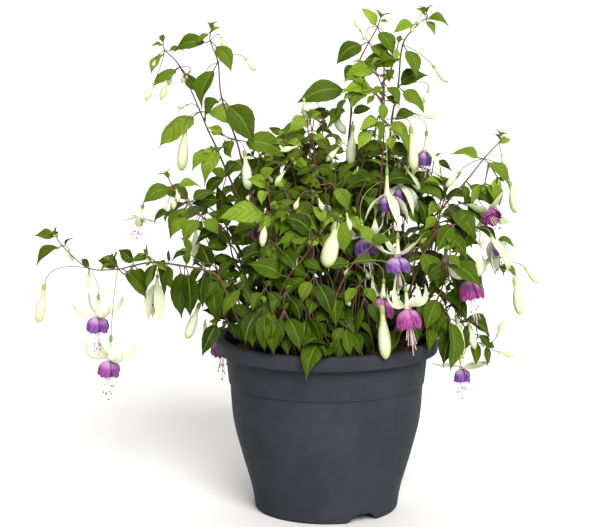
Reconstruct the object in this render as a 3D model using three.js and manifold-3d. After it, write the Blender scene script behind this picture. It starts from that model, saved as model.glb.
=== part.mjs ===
// A trailing fuchsia in a round plastic pot, in millimetres.
// The origin is the middle of the pot's base on the ground, +Z is up and -Y is the front.
import * as THREE from "three";
import { mergeVertices } from "three/addons/utils/BufferGeometryUtils.js";
import Module from "manifold-3d";

const wasm = await Module();
wasm.setup();
const Vector = THREE.Vector3;
const UP = new Vector(0, 0, 1);
const SKEW = new Vector(0.31, -0.62, 0.73);

// Pot
const POT_HEIGHT = 213;
const RIM_RADIUS = 135;
const RIM_DEPTH = 17;
const BASE_RADIUS = 87;
const WALL = 2.4;
const BAND_HEIGHT = 156.5;
const BAND_STEP = 1.6;
const POT_SIDES = 32;
const NOTCH_AZIMUTHS = [-59, 121];
const NOTCH_WIDTH = 40;
const NOTCH_HEIGHT = 10;
const NOTCH_DEPTH = 18;
const NOTCH_FLARE = 2;
const DRAIN_RADIUS = 4;
const CHANNEL = { inner: 46, outer: 77, height: 10, slope: 2 };
const WALL_CURVE = [[91.5, 27], [104.5, 73], [113.8, 112]];
const WALL_STEPS = 4;
const BAND_RADIUS = 117.4;
const NECK_RADIUS = 123.8;
const NECK_HEIGHT = POT_HEIGHT - 10;
const RIM_CHAMFER = 4;

// Soil
const SOIL_TOP = 193;
const SOIL_CROWN = 3;
const SOIL_FALL = 4;
const SOIL_SHOULDER = 60;
const HOLE_DEPTH = 24;

// Gap between neighbouring pieces
const GAP = 0.3;

// Stems, leaves and buds
const STEM_FOOT_RADIUS = 2.4;
const STEM_TIP_RADIUS = 0.9;
const STEM_SIDES = 4;
const COLLAR_HEIGHT = 6;
const PETIOLE_SHARE = 0.2;
const PETIOLE_WIDTH = 1.8;
const LEAF_WIDTH_SHARE = 0.6;
const LEAF_RIDGE = 1.4;
const LEAF_MIDDLE = 0.5;
const LEAF_SHOULDER = 0.78;
const LEAF_SHOULDER_WIDTH = 0.66;
const SMALL_LEAF = 36;
const LEAF_ARCH = 0.07;
const LEAF_BOW = 0.13;
const BOW_LIMIT = 0.35;
const LEAF_BENDS = [0, 14, -14, 28, -28, 42, -42];
const PEDICEL_RADIUS = 0.9;
const BUD_SIDES = 4;
const BUD_BELLY = 2.2;
const BUD_SWELL = 0.075;
const BUD_NECK_SHARE = 0.3;
const BUD_BELLY_SHARE = 0.68;
const BUD_NECK_WIDTH = 0.36;
const BUD_SEAT = 0.4;

// Leaves face up and forward, or backward behind this depth, and out by their place.
const FACING_UP = 0.65;
const FACING_AHEAD = 0.75;
const FACING_REACH = 250;
const FACING_TURN = 40;

// How far below its node each part leaves the stem
const ROOT_DROP = { leaf: 4, bud: 7, bloom: 10 };

// Blooms
const TUBE_SIDES = 4;
const THROAT_RADIUS = 4.2;
const POD = { middle: 0.18, end: 0.36, neck: 1.2, belly: 2.3, foot: 1.9 };
const SEPAL_COUNT = 4;
const SEPAL_LENGTH = 43;
const SEPAL_WIDTH = 13;
const SEPAL_KEEL = 1.4;
const SEPAL_SEAT = 2.2;
const SEPAL_OUTLINE = [0.16, 0.5, 0.36];
const SEPAL_TURN = new Vector(1, -0.27, 0);
const SKIRT_TURN = new Vector(0.9, -0.4, 0.1);
const SKIRT_SIDES = 8;
const SKIRT_WALL = 1;
const SKIRT_LOBES = 0.1;
const SKIRT_SHOULDER = 0.35;
const SKIRT_SHOULDER_WIDTH = 0.74;
const STAMEN_COUNT = 3;
const STAMEN_RADIUS = 0.5;
const STAMEN_STEP = 0.16;
const STAMEN_ROOT = 0.3;
const STAMEN_DEPTHS = { neck: 0.9, knob: 0.96 };
const STAMEN_ASIDE = [0.9, 3.4, 3.6];
const STAMEN_TIP_ASIDE = 3.8;
const SEATING_ROUNDS = 5;

// Angles of a sepal's three stretches from the bloom's axis, its size against a full one's, length
// and width of the skirt of petals and how far the stamens hang
const FORMS = {
  open: { sepals: [84, 138, 192], size: 1, skirt: 22, flare: 13.5, stamens: 46, corolla: "magenta" },
  arched: { sepals: [84, 118, 158], size: 1, skirt: 19, flare: 12, stamens: 42, corolla: "violet" },
  young: { sepals: [98, 124, 138], size: 0.95, skirt: 18, flare: 14, stamens: 38, corolla: "violet" },
  spread: { sepals: [84, 92, 104], size: 1, skirt: 16, flare: 9, stamens: 30, corolla: "violet" },
  half: { sepals: [50, 28, 12], size: 1, skirt: 17, flare: 7, stamens: 26, corolla: "violet" },
  narrow: { sepals: [30, 8, 0], size: 1, skirt: 16, flare: 4.6, stamens: 22, corolla: "violet" },
  faded: { sepals: [66, 82, 78], size: 0.55, skirt: 8, flare: 4.4, stamens: 20, corolla: "violet" },
  front: { sepals: [72, 96, 100], size: 0.8, skirt: 12, flare: 11, stamens: 24, corolla: "magenta" },
};

// Plan of the plant, in places from the pot's base. A shoot is a list of nodes from its foot in the
// soil to its tip. A node names the tips of its leaves, the two ends of each bud and of each bloom's
// tube, and so where each of them points and how long it is.
const leaf = (...tip) => ({ kind: "leaf", tip: new Vector(...tip) });
const bud = (top, tip) => ({ kind: "bud", top: new Vector(...top), tip: new Vector(...tip) });
const bloom = (form, top, end) => (
  { kind: "bloom", form, top: new Vector(...top), end: new Vector(...end) });
const node = (place, ...parts) => ({ place: new Vector(...place), parts });
const foot = (x, y) => node([x, y, SOIL_TOP - HOLE_DEPTH + GAP]);

const SHOOTS = {
  left_tall_rear: [
    foot(-42, 14),
    node([-79, 14, 300]),
    node([-102, 20, 365], leaf(-71, 0, 351), leaf(-137, 20, 343)),
    node([-121, 24, 408], leaf(-147, 20, 375)),
    node([-134, 24, 439], leaf(-162, 14, 412)),
    node([-144, 24, 460], leaf(-124, 16, 453)),
    node([-153, 24, 482], leaf(-202, 12, 439), leaf(-104, 34, 461),
      bud([-170, 14, 468], [-176, 14, 411]), bud([-168, 34, 490], [-182, 36, 485])),
    node([-177, 24, 536], leaf(-209, 14, 511), leaf(-156, 36, 500),
      bud([-190, 14, 521], [-200, 12, 497]), bud([-165, 30, 531], [-176, 28, 516])),
    node([-195, 24, 556], leaf(-212, 20, 526), leaf(-172, 30, 555),
      bud([-207, 10, 519], [-218, 10, 496])),
    node([-197, 24, 565], leaf(-211, 20, 561)),
  ],
  left_tall_front: [
    foot(-22, -8),
    node([-71, -8, 325]),
    node([-88, -12, 380], leaf(-113, -30, 368), leaf(-56, 0, 388)),
    node([-102, -14, 430], leaf(-122, -26, 408)),
    node([-108, -14, 452], leaf(-47, 4, 426), bud([-98, -22, 441], [-93, -24, 393])),
    node([-125, -14, 502], leaf(-86, -26, 448), leaf(-147, 14, 471)),
    node([-129, -14, 544], leaf(-148, -28, 489), bud([-97, -14, 549], [-84, -16, 534])),
    node([-138, -14, 569], leaf(-113, -22, 533), leaf(-183, -6, 555)),
    node([-137, -14, 582], leaf(-155, -20, 564), leaf(-126, -8, 585)),
  ],
  right_tall_rear: [
    foot(34, 22),
    node([22, 26, 344]),
    node([23, 26, 393], leaf(-11, 20, 402), leaf(47, 0, 378)),
    node([25, 24, 436], leaf(-6, 30, 433), leaf(52, 10, 419),
      bud([31, 10, 468], [28, 4, 420]), bud([16, 8, 443], [-1, 4, 424])),
    node([29, 20, 482], leaf(54, 30, 486)),
    node([30, 16, 512], leaf(-36, 10, 494)),
    node([38, 12, 543], leaf(21, -2, 520), leaf(87, 0, 544)),
    node([50, 10, 567], leaf(11, 4, 540), leaf(68, -4, 535), bud([40, 12, 579], [32, 14, 594])),
    node([60, 10, 585], leaf(38, 14, 607), leaf(72, -2, 544)),
    node([63, 10, 595], leaf(73, 6, 590)),
  ],
  right_tall_main: [
    foot(44, -14),
    node([61, -18, 339]),
    node([64, -22, 403], leaf(22, -34, 395), leaf(102, -10, 374),
      bloom("arched", [40, -62, 365], [44, -66, 342])),
    node([67, -22, 445], leaf(39, -16, 439), leaf(100, -8, 430)),
    node([67, -22, 476], leaf(39, -36, 466), leaf(98, -8, 448), bud([99, -26, 470], [103, -28, 417]),
      bloom("half", [71, -40, 424], [71, -42, 388]), bloom("half", [86, -4, 425], [88, -6, 394])),
    node([67, -22, 509], leaf(86, -30, 494), bud([107, -20, 483], [129, -20, 480])),
    node([58, -22, 533], leaf(75, -30, 521), leaf(19, -30, 529)),
  ],
  right_tall_side: [
    foot(62, 18),
    node([80, 22, 332]),
    node([75, 22, 418], leaf(113, 30, 399), leaf(55, 40, 410)),
    node([78, 18, 475], leaf(107, 10, 456), bloom("half", [119, 0, 463], [118, -2, 437])),
    node([85, 14, 514], leaf(117, 10, 482), leaf(121, 20, 526), bud([121, 14, 509], [116, 12, 494])),
    node([90, 10, 564], leaf(106, -2, 525), bud([125, 4, 540], [144, 4, 519])),
    node([109, 8, 589], leaf(78, 0, 577)),
    node([118, 6, 595], leaf(144, 0, 586), leaf(127, -6, 576)),
    node([118, 6, 601], leaf(111, 4, 612)),
  ],
  right_arm_upper: [
    foot(78, -2),
    node([98, -6, 304]),
    node([120, -10, 348], leaf(93, 4, 371), leaf(136, -2, 318)),
    node([144, -12, 378], leaf(105, 2, 388), leaf(175, -32, 335)),
    node([166, -12, 403], leaf(164, -26, 377), leaf(204, -20, 368),
      bloom("front", [187, -26, 373], [192, -36, 367])),
    node([187, -12, 430], leaf(148, 0, 433), leaf(218, -18, 392),
      bud([159, -6, 414], [142, -8, 395]), bud([219, -4, 402], [226, -6, 363])),
    node([205, -12, 450], leaf(218, -4, 456)),
    node([206, -12, 456], leaf(200, -8, 461)),
  ],
  right_arm_lower: [
    foot(72, -34),
    node([99, -44, 277]),
    node([115, -48, 321], leaf(127, -58, 279), leaf(96, -60, 313)),
    node([129, -48, 347], leaf(167, -56, 314)),
    node([155, -44, 356], leaf(141, -56, 312), leaf(177, -30, 368)),
    node([179, -40, 351], leaf(161, -30, 323), leaf(204, -50, 359),
      bloom("narrow", [193, -54, 346], [197, -53, 335])),
    node([201, -38, 330], leaf(214, -46, 313)),
    node([206, -36, 303], leaf(199, -40, 291), leaf(227, -30, 290),
      bud([223, -36, 290], [231, -36, 245]), bud([235, -36, 303], [252, -36, 284])),
  ],
  right_low: [
    foot(90, -52),
    node([120, -66, 247]),
    node([134, -70, 279], leaf(117, -84, 236), leaf(160, -64, 254)),
    node([143, -70, 310], leaf(185, -76, 281), leaf(119, -84, 293),
      bloom("open", [165, -82, 308], [167, -84, 296])),
    node([145, -68, 329], leaf(133, -60, 339), leaf(158, -74, 327)),
  ],
  right_drop: [
    foot(98, -24),
    node([136, -36, 244]),
    node([149, -42, 258], leaf(177, -38, 268), leaf(130, -60, 219)),
    node([161, -44, 238], leaf(147, -58, 181), leaf(195, -38, 219),
      bud([157, -56, 237], [165, -58, 207]), bud([168, -60, 241], [176, -60, 208]),
      bloom("spread", [162, -50, 198], [162, -52, 183])),
    node([176, -44, 216], leaf(178, -52, 186)),
    node([192, -44, 210], leaf(192, -46, 185),
      bud([203, -44, 221], [211, -44, 239]), bud([205, -44, 202], [225, -44, 197])),
  ],
  left_trailer: [
    foot(-84, -22),
    node([-117, -32, 262]),
    node([-125, -36, 285], leaf(-107, -56, 252)),
    node([-141, -36, 297], leaf(-131, -60, 240), leaf(-154, -20, 330),
      bud([-151, -44, 260], [-167, -44, 216])),
    node([-177, -34, 304], leaf(-172, -50, 243)),
    node([-208, -32, 307], leaf(-191, -40, 270),
      bloom("narrow", [-202, -34, 293], [-203, -34, 277])),
    node([-233, -30, 302], leaf(-214, -42, 274), leaf(-250, -20, 320)),
    node([-250, -28, 298], leaf(-215, -40, 264), leaf(-275, -16, 306),
      bloom("arched", [-259, -30, 219], [-261, -30, 187])),
    node([-286, -26, 299], leaf(-295, -16, 308), bud([-338, -28, 280], [-347, -28, 232]),
      bloom("arched", [-274, -24, 268], [-275, -24, 240])),
    node([-317, -24, 326], leaf(-348, -28, 301), leaf(-303, -16, 334)),
    node([-324, -24, 338], leaf(-350, -20, 337), leaf(-321, -28, 345)),
  ],
  left_arm: [
    foot(-64, 6),
    node([-101, 2, 307]),
    node([-126, 0, 344], leaf(-157, -20, 327), leaf(-105, 16, 359)),
    node([-149, -2, 357], leaf(-171, -16, 327), leaf(-129, -20, 336)),
    node([-167, -2, 376], leaf(-133, 10, 385), leaf(-188, -12, 333)),
    node([-185, -2, 395], leaf(-216, -10, 365), leaf(-152, 6, 393),
      bud([-180, -6, 386], [-185, -8, 367]), bloom("faded", [-221, -2, 373], [-225, -2, 355])),
    node([-191, -2, 406], leaf(-196, 0, 413)),
  ],
  centre_left: [
    foot(-16, -46),
    node([-64, -62, 267]),
    node([-63, -68, 326], leaf(-101, -80, 316), leaf(-24, -76, 344)),
    node([-65, -68, 372], leaf(-126, -72, 366), leaf(-36, -60, 386),
      bud([-71, -80, 367], [-75, -84, 334])),
    node([-69, -64, 401], leaf(-95, -50, 409), leaf(-75, -86, 383)),
  ],
  front_left: [
    foot(-34, -84),
    node([-60, -98, 257]),
    node([-53, -102, 282], leaf(-82, -116, 253), leaf(-30, -112, 263)),
    node([-44, -104, 303], leaf(-91, -100, 317), leaf(-20, -112, 284)),
    node([-27, -100, 324], leaf(-52, -92, 344), leaf(-5, -112, 310)),
    node([-10, -96, 347], leaf(-55, -98, 373), leaf(20, -104, 334)),
    node([2, -90, 365], leaf(-17, -80, 382), leaf(18, -92, 374), bud([12, -104, 367], [0, -108, 314])),
  ],
  front_middle: [
    foot(2, -90),
    node([2, -104, 222], leaf(-23, -146, 190)),
    node([8, -108, 262], leaf(30, -124, 242), leaf(-16, -120, 252)),
    node([12, -108, 283], leaf(8, -126, 255), leaf(30, -112, 275)),
    node([32, -104, 320], leaf(0, -110, 321), leaf(58, -96, 319), bud([64, -122, 273], [69, -126, 210]),
      bloom("open", [67, -84, 298], [66, -86, 275]), bloom("open", [90, -146, 300], [93, -150, 274])),
    node([53, -96, 338], leaf(34, -84, 362), leaf(76, -92, 344),
      bloom("young", [83, -80, 352], [83, -82, 323])),
  ],
};

// Rear shoots, which lean out evenly around the back of the pot
const REAR_SHOOTS = 5;
const REAR_FIRST_AZIMUTH = 14;
const REAR_LAST_AZIMUTH = 166;
const REAR_FOOT = 70;
const REAR_REACH = 190;
const REAR_RISE = 175;
const REAR_NODES = 6;
const REAR_SPREAD = { reach: 35, rise: 60, sway: 16 };
const REAR_CURVE = 1.2;
const REAR_ARCH = 2;
const REAR_LEAF = 50;
const REAR_LEAF_TAPER = 0.45;
const LEAF_SPREAD = { least: 0.85, more: 0.3 };
const REAR_STALK = { out: 16, drop: 22 };
const REAR_BLOOM_LENGTH = 26;
const REAR_BUD_LENGTH = 46;
const LOW_LEAF = 54;
const SEED = 7;

function seededRandom(seed) {
  let state = seed;
  return () => {
    state = (state + 0x6d2b79f5) | 0;
    let mixed = Math.imul(state ^ (state >>> 15), 1 | state);
    mixed = (mixed + Math.imul(mixed ^ (mixed >>> 7), 61 | mixed)) ^ mixed;
    return ((mixed ^ (mixed >>> 14)) >>> 0) / 4294967296;
  };
}

function rearShoot(azimuth, bearsBloom, random) {
  const out = new Vector(Math.cos(azimuth), Math.sin(azimuth), 0);
  const across = new Vector(-out.y, out.x, 0);
  const reach = REAR_REACH + REAR_SPREAD.reach * (random() - 0.5);
  const rise = REAR_RISE + REAR_SPREAD.rise * (random() - 0.5);
  const nodes = [foot(Math.round(out.x * REAR_FOOT), Math.round(out.y * REAR_FOOT))];
  for (let step = 1; step <= REAR_NODES; step += 1) {
    const share = step / REAR_NODES;
    const place = out.clone().multiplyScalar(REAR_FOOT + (reach - REAR_FOOT) * share ** REAR_CURVE);
    place.addScaledVector(across, REAR_SPREAD.sway * (random() - 0.5) * share);
    place.z = SOIL_TOP + rise * Math.sin(share * REAR_ARCH);
    const length = REAR_LEAF * (1 - REAR_LEAF_TAPER * share ** 3) * leafSpread(random);
    const pair = [1, -1].map((sign) => rearLeaf(place, out, across, sign, step, length, random));
    const parts = step > 1 ? pair : [];
    if (step === REAR_NODES - 2) {
      const top = place.clone().addScaledVector(out, REAR_STALK.out).addScaledVector(UP, -REAR_STALK.drop);
      parts.push(bearsBloom ? rearBloom(top) : bud(top, below(top, REAR_BUD_LENGTH)));
    }
    nodes.push(node(place.toArray(), ...parts));
  }
  return nodes;
}

function leafSpread(random) {
  return LEAF_SPREAD.least + LEAF_SPREAD.more * random();
}

function below(point, distance) {
  return point.clone().addScaledVector(UP, -distance);
}

function rearBloom(top) {
  return bloom("open", top, below(top, REAR_BLOOM_LENGTH));
}

// Leaves stand in pairs, by turns to both sides of the stem and out from under and over it.
function rearLeaf(place, out, across, sign, step, length, random) {
  const sideways = step % 2 === 0 ? 1 : 0.45;
  const along = across.clone().multiplyScalar(sign * sideways);
  along.addScaledVector(out, 0.75 - 0.5 * sideways + 0.2 * random());
  along.z = (step % 2 === 0 ? -0.25 : 0.5 * sign) - 0.2 * random();
  return leaf(...along.setLength(length).add(place).toArray());
}

// Each shoot also bears a low pair of leaves between the soil and its first node.
function addLowPairs(shoots, random) {
  for (const nodes of Object.values(shoots)) {
    const collar = nodes[0].place.clone().setZ(SOIL_TOP);
    const place = collar.lerp(nodes[1].place, 0.5 + 0.15 * random());
    const turn = Math.PI * random();
    const pair = [1, -1].map((sign) => {
      const along = new Vector(sign * Math.cos(turn), sign * Math.sin(turn), 0.1 + 0.5 * random());
      return leaf(...along.setLength(LOW_LEAF * leafSpread(random)).add(place).toArray());
    });
    nodes.splice(1, 0, node(place.toArray(), ...pair));
  }
}

function addRearShoots(shoots, random) {
  for (let index = 0; index < REAR_SHOOTS; index += 1) {
    const share = index / (REAR_SHOOTS - 1);
    const degrees = REAR_FIRST_AZIMUTH + (REAR_LAST_AZIMUTH - REAR_FIRST_AZIMUTH) * share;
    shoots[`rear_${index + 1}`] = rearShoot(THREE.MathUtils.degToRad(degrees), index % 2 === 1, random);
  }
}

// Solids
function toSolid(geometry) {
  const mesh = new wasm.Mesh({
    numProp: 3,
    vertProperties: Float32Array.from(geometry.attributes.position.array),
    triVerts: Uint32Array.from(geometry.index.array),
  });
  return new wasm.Manifold(mesh);
}

function bare(geometry) {
  geometry.deleteAttribute("normal");
  geometry.deleteAttribute("uv");
  return mergeVertices(geometry, 1e-4);
}

// A closed body through rings of equally many points, which run counter-clockwise seen from its end.
// A single point makes a tip.
function loft(rings) {
  const starts = [];
  const positions = [];
  const triangles = [];
  for (const ring of rings) {
    starts.push(positions.length / 3);
    ring.forEach((point) => positions.push(point.x, point.y, point.z));
  }
  const sides = rings[0].length;
  for (let step = 0; step + 1 < rings.length; step += 1) {
    const [near, far] = [starts[step], starts[step + 1]];
    for (let side = 0; side < sides; side += 1) {
      const next = (side + 1) % sides;
      if (rings[step + 1].length === 1) {
        triangles.push(near + side, near + next, far);
      } else {
        triangles.push(near + side, near + next, far + next, near + side, far + next, far + side);
      }
    }
  }
  const last = starts[rings.length - 1];
  for (let side = 1; side + 1 < sides; side += 1) {
    triangles.push(0, side + 1, side);
    if (rings[rings.length - 1].length > 1) triangles.push(last, last + side, last + side + 1);
  }
  const geometry = new THREE.BufferGeometry();
  geometry.setAttribute("position", new THREE.Float32BufferAttribute(positions, 3));
  geometry.setIndex(triangles);
  return toSolid(geometry);
}

function ring(centre, first, second, radius, sides, shape = () => 1) {
  return Array.from({ length: sides }, (_, index) => {
    const angle = (2 * Math.PI * index) / sides;
    const reach = radius * shape(angle);
    return centre.clone()
      .addScaledVector(first, reach * Math.cos(angle))
      .addScaledVector(second, reach * Math.sin(angle));
  });
}

function squareTo(axis, wanted) {
  const square = wanted.clone().addScaledVector(axis, -wanted.dot(axis));
  if (square.length() < 0.15) square.copy(SKEW).addScaledVector(axis, -square.dot(axis));
  return square.normalize();
}

// Rings around a path, carried along it without twist
function ringsAlong(path, radii, sides) {
  let first = new Vector(1, 0, 0);
  return path.map((point, index) => {
    const before = path[Math.max(index - 1, 0)];
    const after = path[Math.min(index + 1, path.length - 1)];
    const axis = after.clone().sub(before).normalize();
    first = squareTo(axis, first);
    return ring(point, first, axis.clone().cross(first), radii[index], sides);
  });
}

// Pot
function wallProfile() {
  const curve = new THREE.SplineCurve([
    new THREE.Vector2(BASE_RADIUS, 0),
    ...WALL_CURVE.map(([radius, height]) => new THREE.Vector2(radius, height)),
    new THREE.Vector2(BAND_RADIUS, BAND_HEIGHT - 1),
  ]);
  return curve.getPoints(WALL_STEPS);
}

function innerWall() {
  const inner = [...wallProfile().slice(1), new THREE.Vector2(NECK_RADIUS, NECK_HEIGHT)];
  return inner.map((point) => new THREE.Vector2(point.x - WALL, point.y));
}

function makePot() {
  const at = (x, y) => new THREE.Vector2(x, y);
  const skirt = RIM_RADIUS - WALL;
  const profile = [
    at(0, 0),
    at(CHANNEL.inner, 0),
    at(CHANNEL.inner + CHANNEL.slope, CHANNEL.height),
    at(CHANNEL.outer, CHANNEL.height),
    at(CHANNEL.outer + CHANNEL.slope, 0),
    ...wallProfile(),
    at(BAND_RADIUS + BAND_STEP, BAND_HEIGHT + 1),
    at(NECK_RADIUS, NECK_HEIGHT),
    at(skirt, POT_HEIGHT - 1.5 * RIM_CHAMFER),
    at(skirt, POT_HEIGHT - RIM_DEPTH),
    at(RIM_RADIUS, POT_HEIGHT - RIM_DEPTH),
    at(RIM_RADIUS, POT_HEIGHT - RIM_CHAMFER),
    at(RIM_RADIUS - 0.75 * RIM_CHAMFER, POT_HEIGHT),
    at(RIM_RADIUS - 2 * RIM_CHAMFER, POT_HEIGHT - 1),
    ...innerWall().reverse(),
    at(CHANNEL.outer + CHANNEL.slope, CHANNEL.height + WALL),
    at(CHANNEL.inner - 1, CHANNEL.height + WALL),
    at(CHANNEL.inner - 1 - CHANNEL.slope, WALL),
    at(0, WALL),
  ];
  let pot = toSolid(bare(turnUpright(new THREE.LatheGeometry(profile, POT_SIDES))));
  NOTCH_AZIMUTHS.forEach((azimuth) => {
    pot = pot.subtract(makeNotch(azimuth)).subtract(makeDrain(azimuth));
  });
  return pot;
}

// A lathe turns about Y, so its body is stood up on Z.
function turnUpright(geometry) {
  return geometry.rotateX(Math.PI / 2);
}

function makeNotch(azimuth) {
  const outline = new THREE.Shape();
  outline.moveTo(-NOTCH_WIDTH / 2 - NOTCH_FLARE, -1);
  outline.lineTo(NOTCH_WIDTH / 2 + NOTCH_FLARE, -1);
  outline.lineTo(NOTCH_WIDTH / 4, NOTCH_HEIGHT - 0.5);
  outline.lineTo(-NOTCH_WIDTH / 4, NOTCH_HEIGHT - 0.5);
  const block = new THREE.ExtrudeGeometry(outline, { depth: NOTCH_DEPTH, bevelEnabled: false });
  block.rotateX(Math.PI / 2);
  block.rotateZ(Math.PI / 2);
  block.translate(CHANNEL.outer - 3, 0, 0);
  block.rotateZ(THREE.MathUtils.degToRad(azimuth));
  return toSolid(bare(block));
}

function makeDrain(azimuth) {
  const hole = new THREE.CylinderGeometry(DRAIN_RADIUS, DRAIN_RADIUS, 2 * DRAIN_RADIUS, 8);
  hole.rotateX(Math.PI / 2);
  hole.translate((CHANNEL.inner + CHANNEL.outer) / 2, 0, CHANNEL.height + 1);
  hole.rotateZ(THREE.MathUtils.degToRad(azimuth));
  return toSolid(bare(hole));
}

// Soil
function makeSoil(shoots) {
  const at = (x, y) => new THREE.Vector2(x, y);
  const sides = innerWall().filter((point) => point.y < SOIL_TOP - 12);
  const top = innerWall().at(-1);
  const profile = [
    at(0, WALL + GAP),
    at(CHANNEL.inner - 2 - CHANNEL.slope, WALL + GAP),
    at(CHANNEL.inner - 2, CHANNEL.height + WALL + GAP),
    at(CHANNEL.outer + CHANNEL.slope, CHANNEL.height + WALL + GAP),
    ...sides.map((point) => at(point.x - GAP, point.y)),
    at(top.x - GAP - BAND_STEP, SOIL_TOP - SOIL_FALL),
    at(SOIL_SHOULDER, SOIL_TOP),
    at(0, SOIL_TOP + SOIL_CROWN),
  ];
  let soil = toSolid(bare(turnUpright(new THREE.LatheGeometry(profile, POT_SIDES))));
  for (const nodes of Object.values(shoots)) {
    const { x, y } = nodes[0].place;
    const bottom = new Vector(x, y, SOIL_TOP - HOLE_DEPTH);
    const top = new Vector(x, y, SOIL_TOP + 10);
    const width = STEM_FOOT_RADIUS + 1.5 * GAP;
    soil = soil.subtract(loft(ringsAlong([bottom, top], [width, width], STEM_SIDES)));
  }
  return soil;
}

// Stems
function stemRadius(nodes, index) {
  const share = index / (nodes.length - 1);
  return STEM_FOOT_RADIUS + (STEM_TIP_RADIUS - STEM_FOOT_RADIUS) * share;
}

function makeStem(nodes) {
  const path = nodes.map((entry) => entry.place);
  const radii = nodes.map((entry, index) => stemRadius(nodes, index));
  const collar = new Vector(path[0].x, path[0].y, SOIL_TOP + COLLAR_HEIGHT);
  path.splice(1, 0, collar);
  radii.splice(1, 0, STEM_FOOT_RADIUS);
  return loft(ringsAlong(path, radii, STEM_SIDES));
}

// Leaves start a little below their node, and buds a little lower, inside the stem.
function stemDirection(nodes, index) {
  return nodes[index].place.clone().sub(nodes[index - 1].place).normalize();
}

function rootOn(nodes, index, part) {
  return nodes[index].place.clone().addScaledVector(stemDirection(nodes, index), -ROOT_DROP[part.kind]);
}

// Leaves
// A leaf bows upwards between its stalk and its tip, and the less so the steeper it stands.
function leafBow(along) {
  const upward = UP.clone().addScaledVector(along, -along.z);
  const slope = upward.length();
  return upward.setLength(Math.min(LEAF_BOW, BOW_LIMIT * slope));
}

function leafRings(root, tip, extra, first = 0) {
  const along = tip.clone().sub(root);
  const length = along.length();
  along.normalize();
  const ahead = root.y < FACING_TURN ? -FACING_AHEAD : FACING_AHEAD;
  const facing = new Vector(root.x / FACING_REACH, ahead, FACING_UP);
  const normal = squareTo(along, facing);
  const across = along.clone().cross(normal);
  const blade = length * (1 - PETIOLE_SHARE);
  const widest = (LEAF_WIDTH_SHARE * blade) / 2;
  const bow = leafBow(along);
  const section = (share, half, ridge) => {
    const height = length * Math.sin(Math.PI * share);
    const centre = root.clone()
      .addScaledVector(along, share * length)
      .addScaledVector(normal, LEAF_ARCH * height)
      .addScaledVector(bow, height);
    const edge = (sign) => centre.clone()
      .addScaledVector(across, sign * (half + extra))
      .addScaledVector(normal, -extra);
    return [centre.clone().addScaledVector(normal, ridge + extra), edge(1), edge(-1)];
  };
  const shoulder = section(LEAF_SHOULDER, LEAF_SHOULDER_WIDTH * widest, LEAF_RIDGE);
  return [
    section(0, PETIOLE_WIDTH / 4, PETIOLE_WIDTH / 4),
    section(PETIOLE_SHARE, PETIOLE_WIDTH / 2, PETIOLE_WIDTH / 2),
    section(LEAF_MIDDLE, widest, LEAF_RIDGE),
    ...(length < SMALL_LEAF ? [] : [shoulder]),
    [tip.clone().addScaledVector(along, extra)],
  ].slice(first);
}

// A leaf that would cross another piece is bent clear of it, up or down, or else left out.
function bentTip(root, tip, degrees) {
  const along = tip.clone().sub(root);
  const hinge = along.clone().cross(UP).normalize();
  return along.applyAxisAngle(hinge, THREE.MathUtils.degToRad(degrees)).add(root);
}

function makeLeaf(root, tip, isFree) {
  const bend = LEAF_BENDS.find((degrees) => {
    const bent = bentTip(root, tip, degrees);
    const whole = loft(leafRings(root, bent, GAP));
    const blade = loft(leafRings(root, bent, 0, 1));
    return isFree(whole, false) && isFree(blade, true);
  });
  if (bend === undefined) return null;
  return loft(leafRings(root, bentTip(root, tip, bend), 0));
}

// Buds and pedicels
function pedicelPath(root, top, axis, steps) {
  const bow = top.clone().addScaledVector(axis, -0.5 * root.distanceTo(top));
  return new THREE.QuadraticBezierCurve3(root, bow, top).getPoints(steps);
}

function makeBud(root, { top, tip }) {
  const axis = tip.clone().sub(top);
  const length = axis.length();
  axis.normalize();
  const belly = BUD_BELLY + BUD_SWELL * length;
  const seat = PEDICEL_RADIUS + BUD_SEAT;
  const neck = BUD_NECK_WIDTH * belly + BUD_SEAT;
  const along = (share) => top.clone().addScaledVector(axis, share * length);
  const path = [...pedicelPath(root, top, axis, 2), along(BUD_NECK_SHARE), along(BUD_BELLY_SHARE)];
  const rings = ringsAlong(path, [PEDICEL_RADIUS, PEDICEL_RADIUS, seat, neck, belly], BUD_SIDES);
  return loft([...rings, [tip]]);
}

// Blooms
function bloomRoot(nodes, index, top, reach) {
  const stem = stemDirection(nodes, index);
  const root = nodes[index].place.clone().addScaledVector(stem, -ROOT_DROP.bloom);
  const away = squareTo(stem, top.clone().sub(root));
  return root.addScaledVector(away, reach);
}

// The stalk of a bloom moves along its own direction until it sits a gap away from the stem.
function seatCalyx(nodes, index, part, stem) {
  let reach = stemRadius(nodes, index - 1) + GAP + PEDICEL_RADIUS;
  let calyx;
  for (let round = 0; round < SEATING_ROUNDS; round += 1) {
    calyx = makeCalyx(bloomRoot(nodes, index, part.top, reach), part);
    reach -= calyx.minGap(stem, 4 * PEDICEL_RADIUS) - GAP;
  }
  return calyx;
}

function makeCalyx(root, { top, end, form }) {
  const axis = end.clone().sub(top);
  const length = axis.length();
  axis.normalize();
  const along = (share) => top.clone().addScaledVector(axis, share * length);
  const path = [...pedicelPath(root, top, axis, 2), along(POD.middle), along(POD.end), end];
  const radii = [PEDICEL_RADIUS, PEDICEL_RADIUS, POD.neck, POD.belly, POD.foot, THROAT_RADIUS];
  let calyx = loft(ringsAlong(path, radii, TUBE_SIDES));
  const across = squareTo(axis, SEPAL_TURN);
  for (let index = 0; index < SEPAL_COUNT; index += 1) {
    const angle = (2 * Math.PI * (index + 0.5)) / SEPAL_COUNT;
    const radial = across.clone().applyAxisAngle(axis, angle);
    calyx = calyx.add(makeSepal(end, axis, radial, FORMS[form]));
  }
  return calyx;
}

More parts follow.
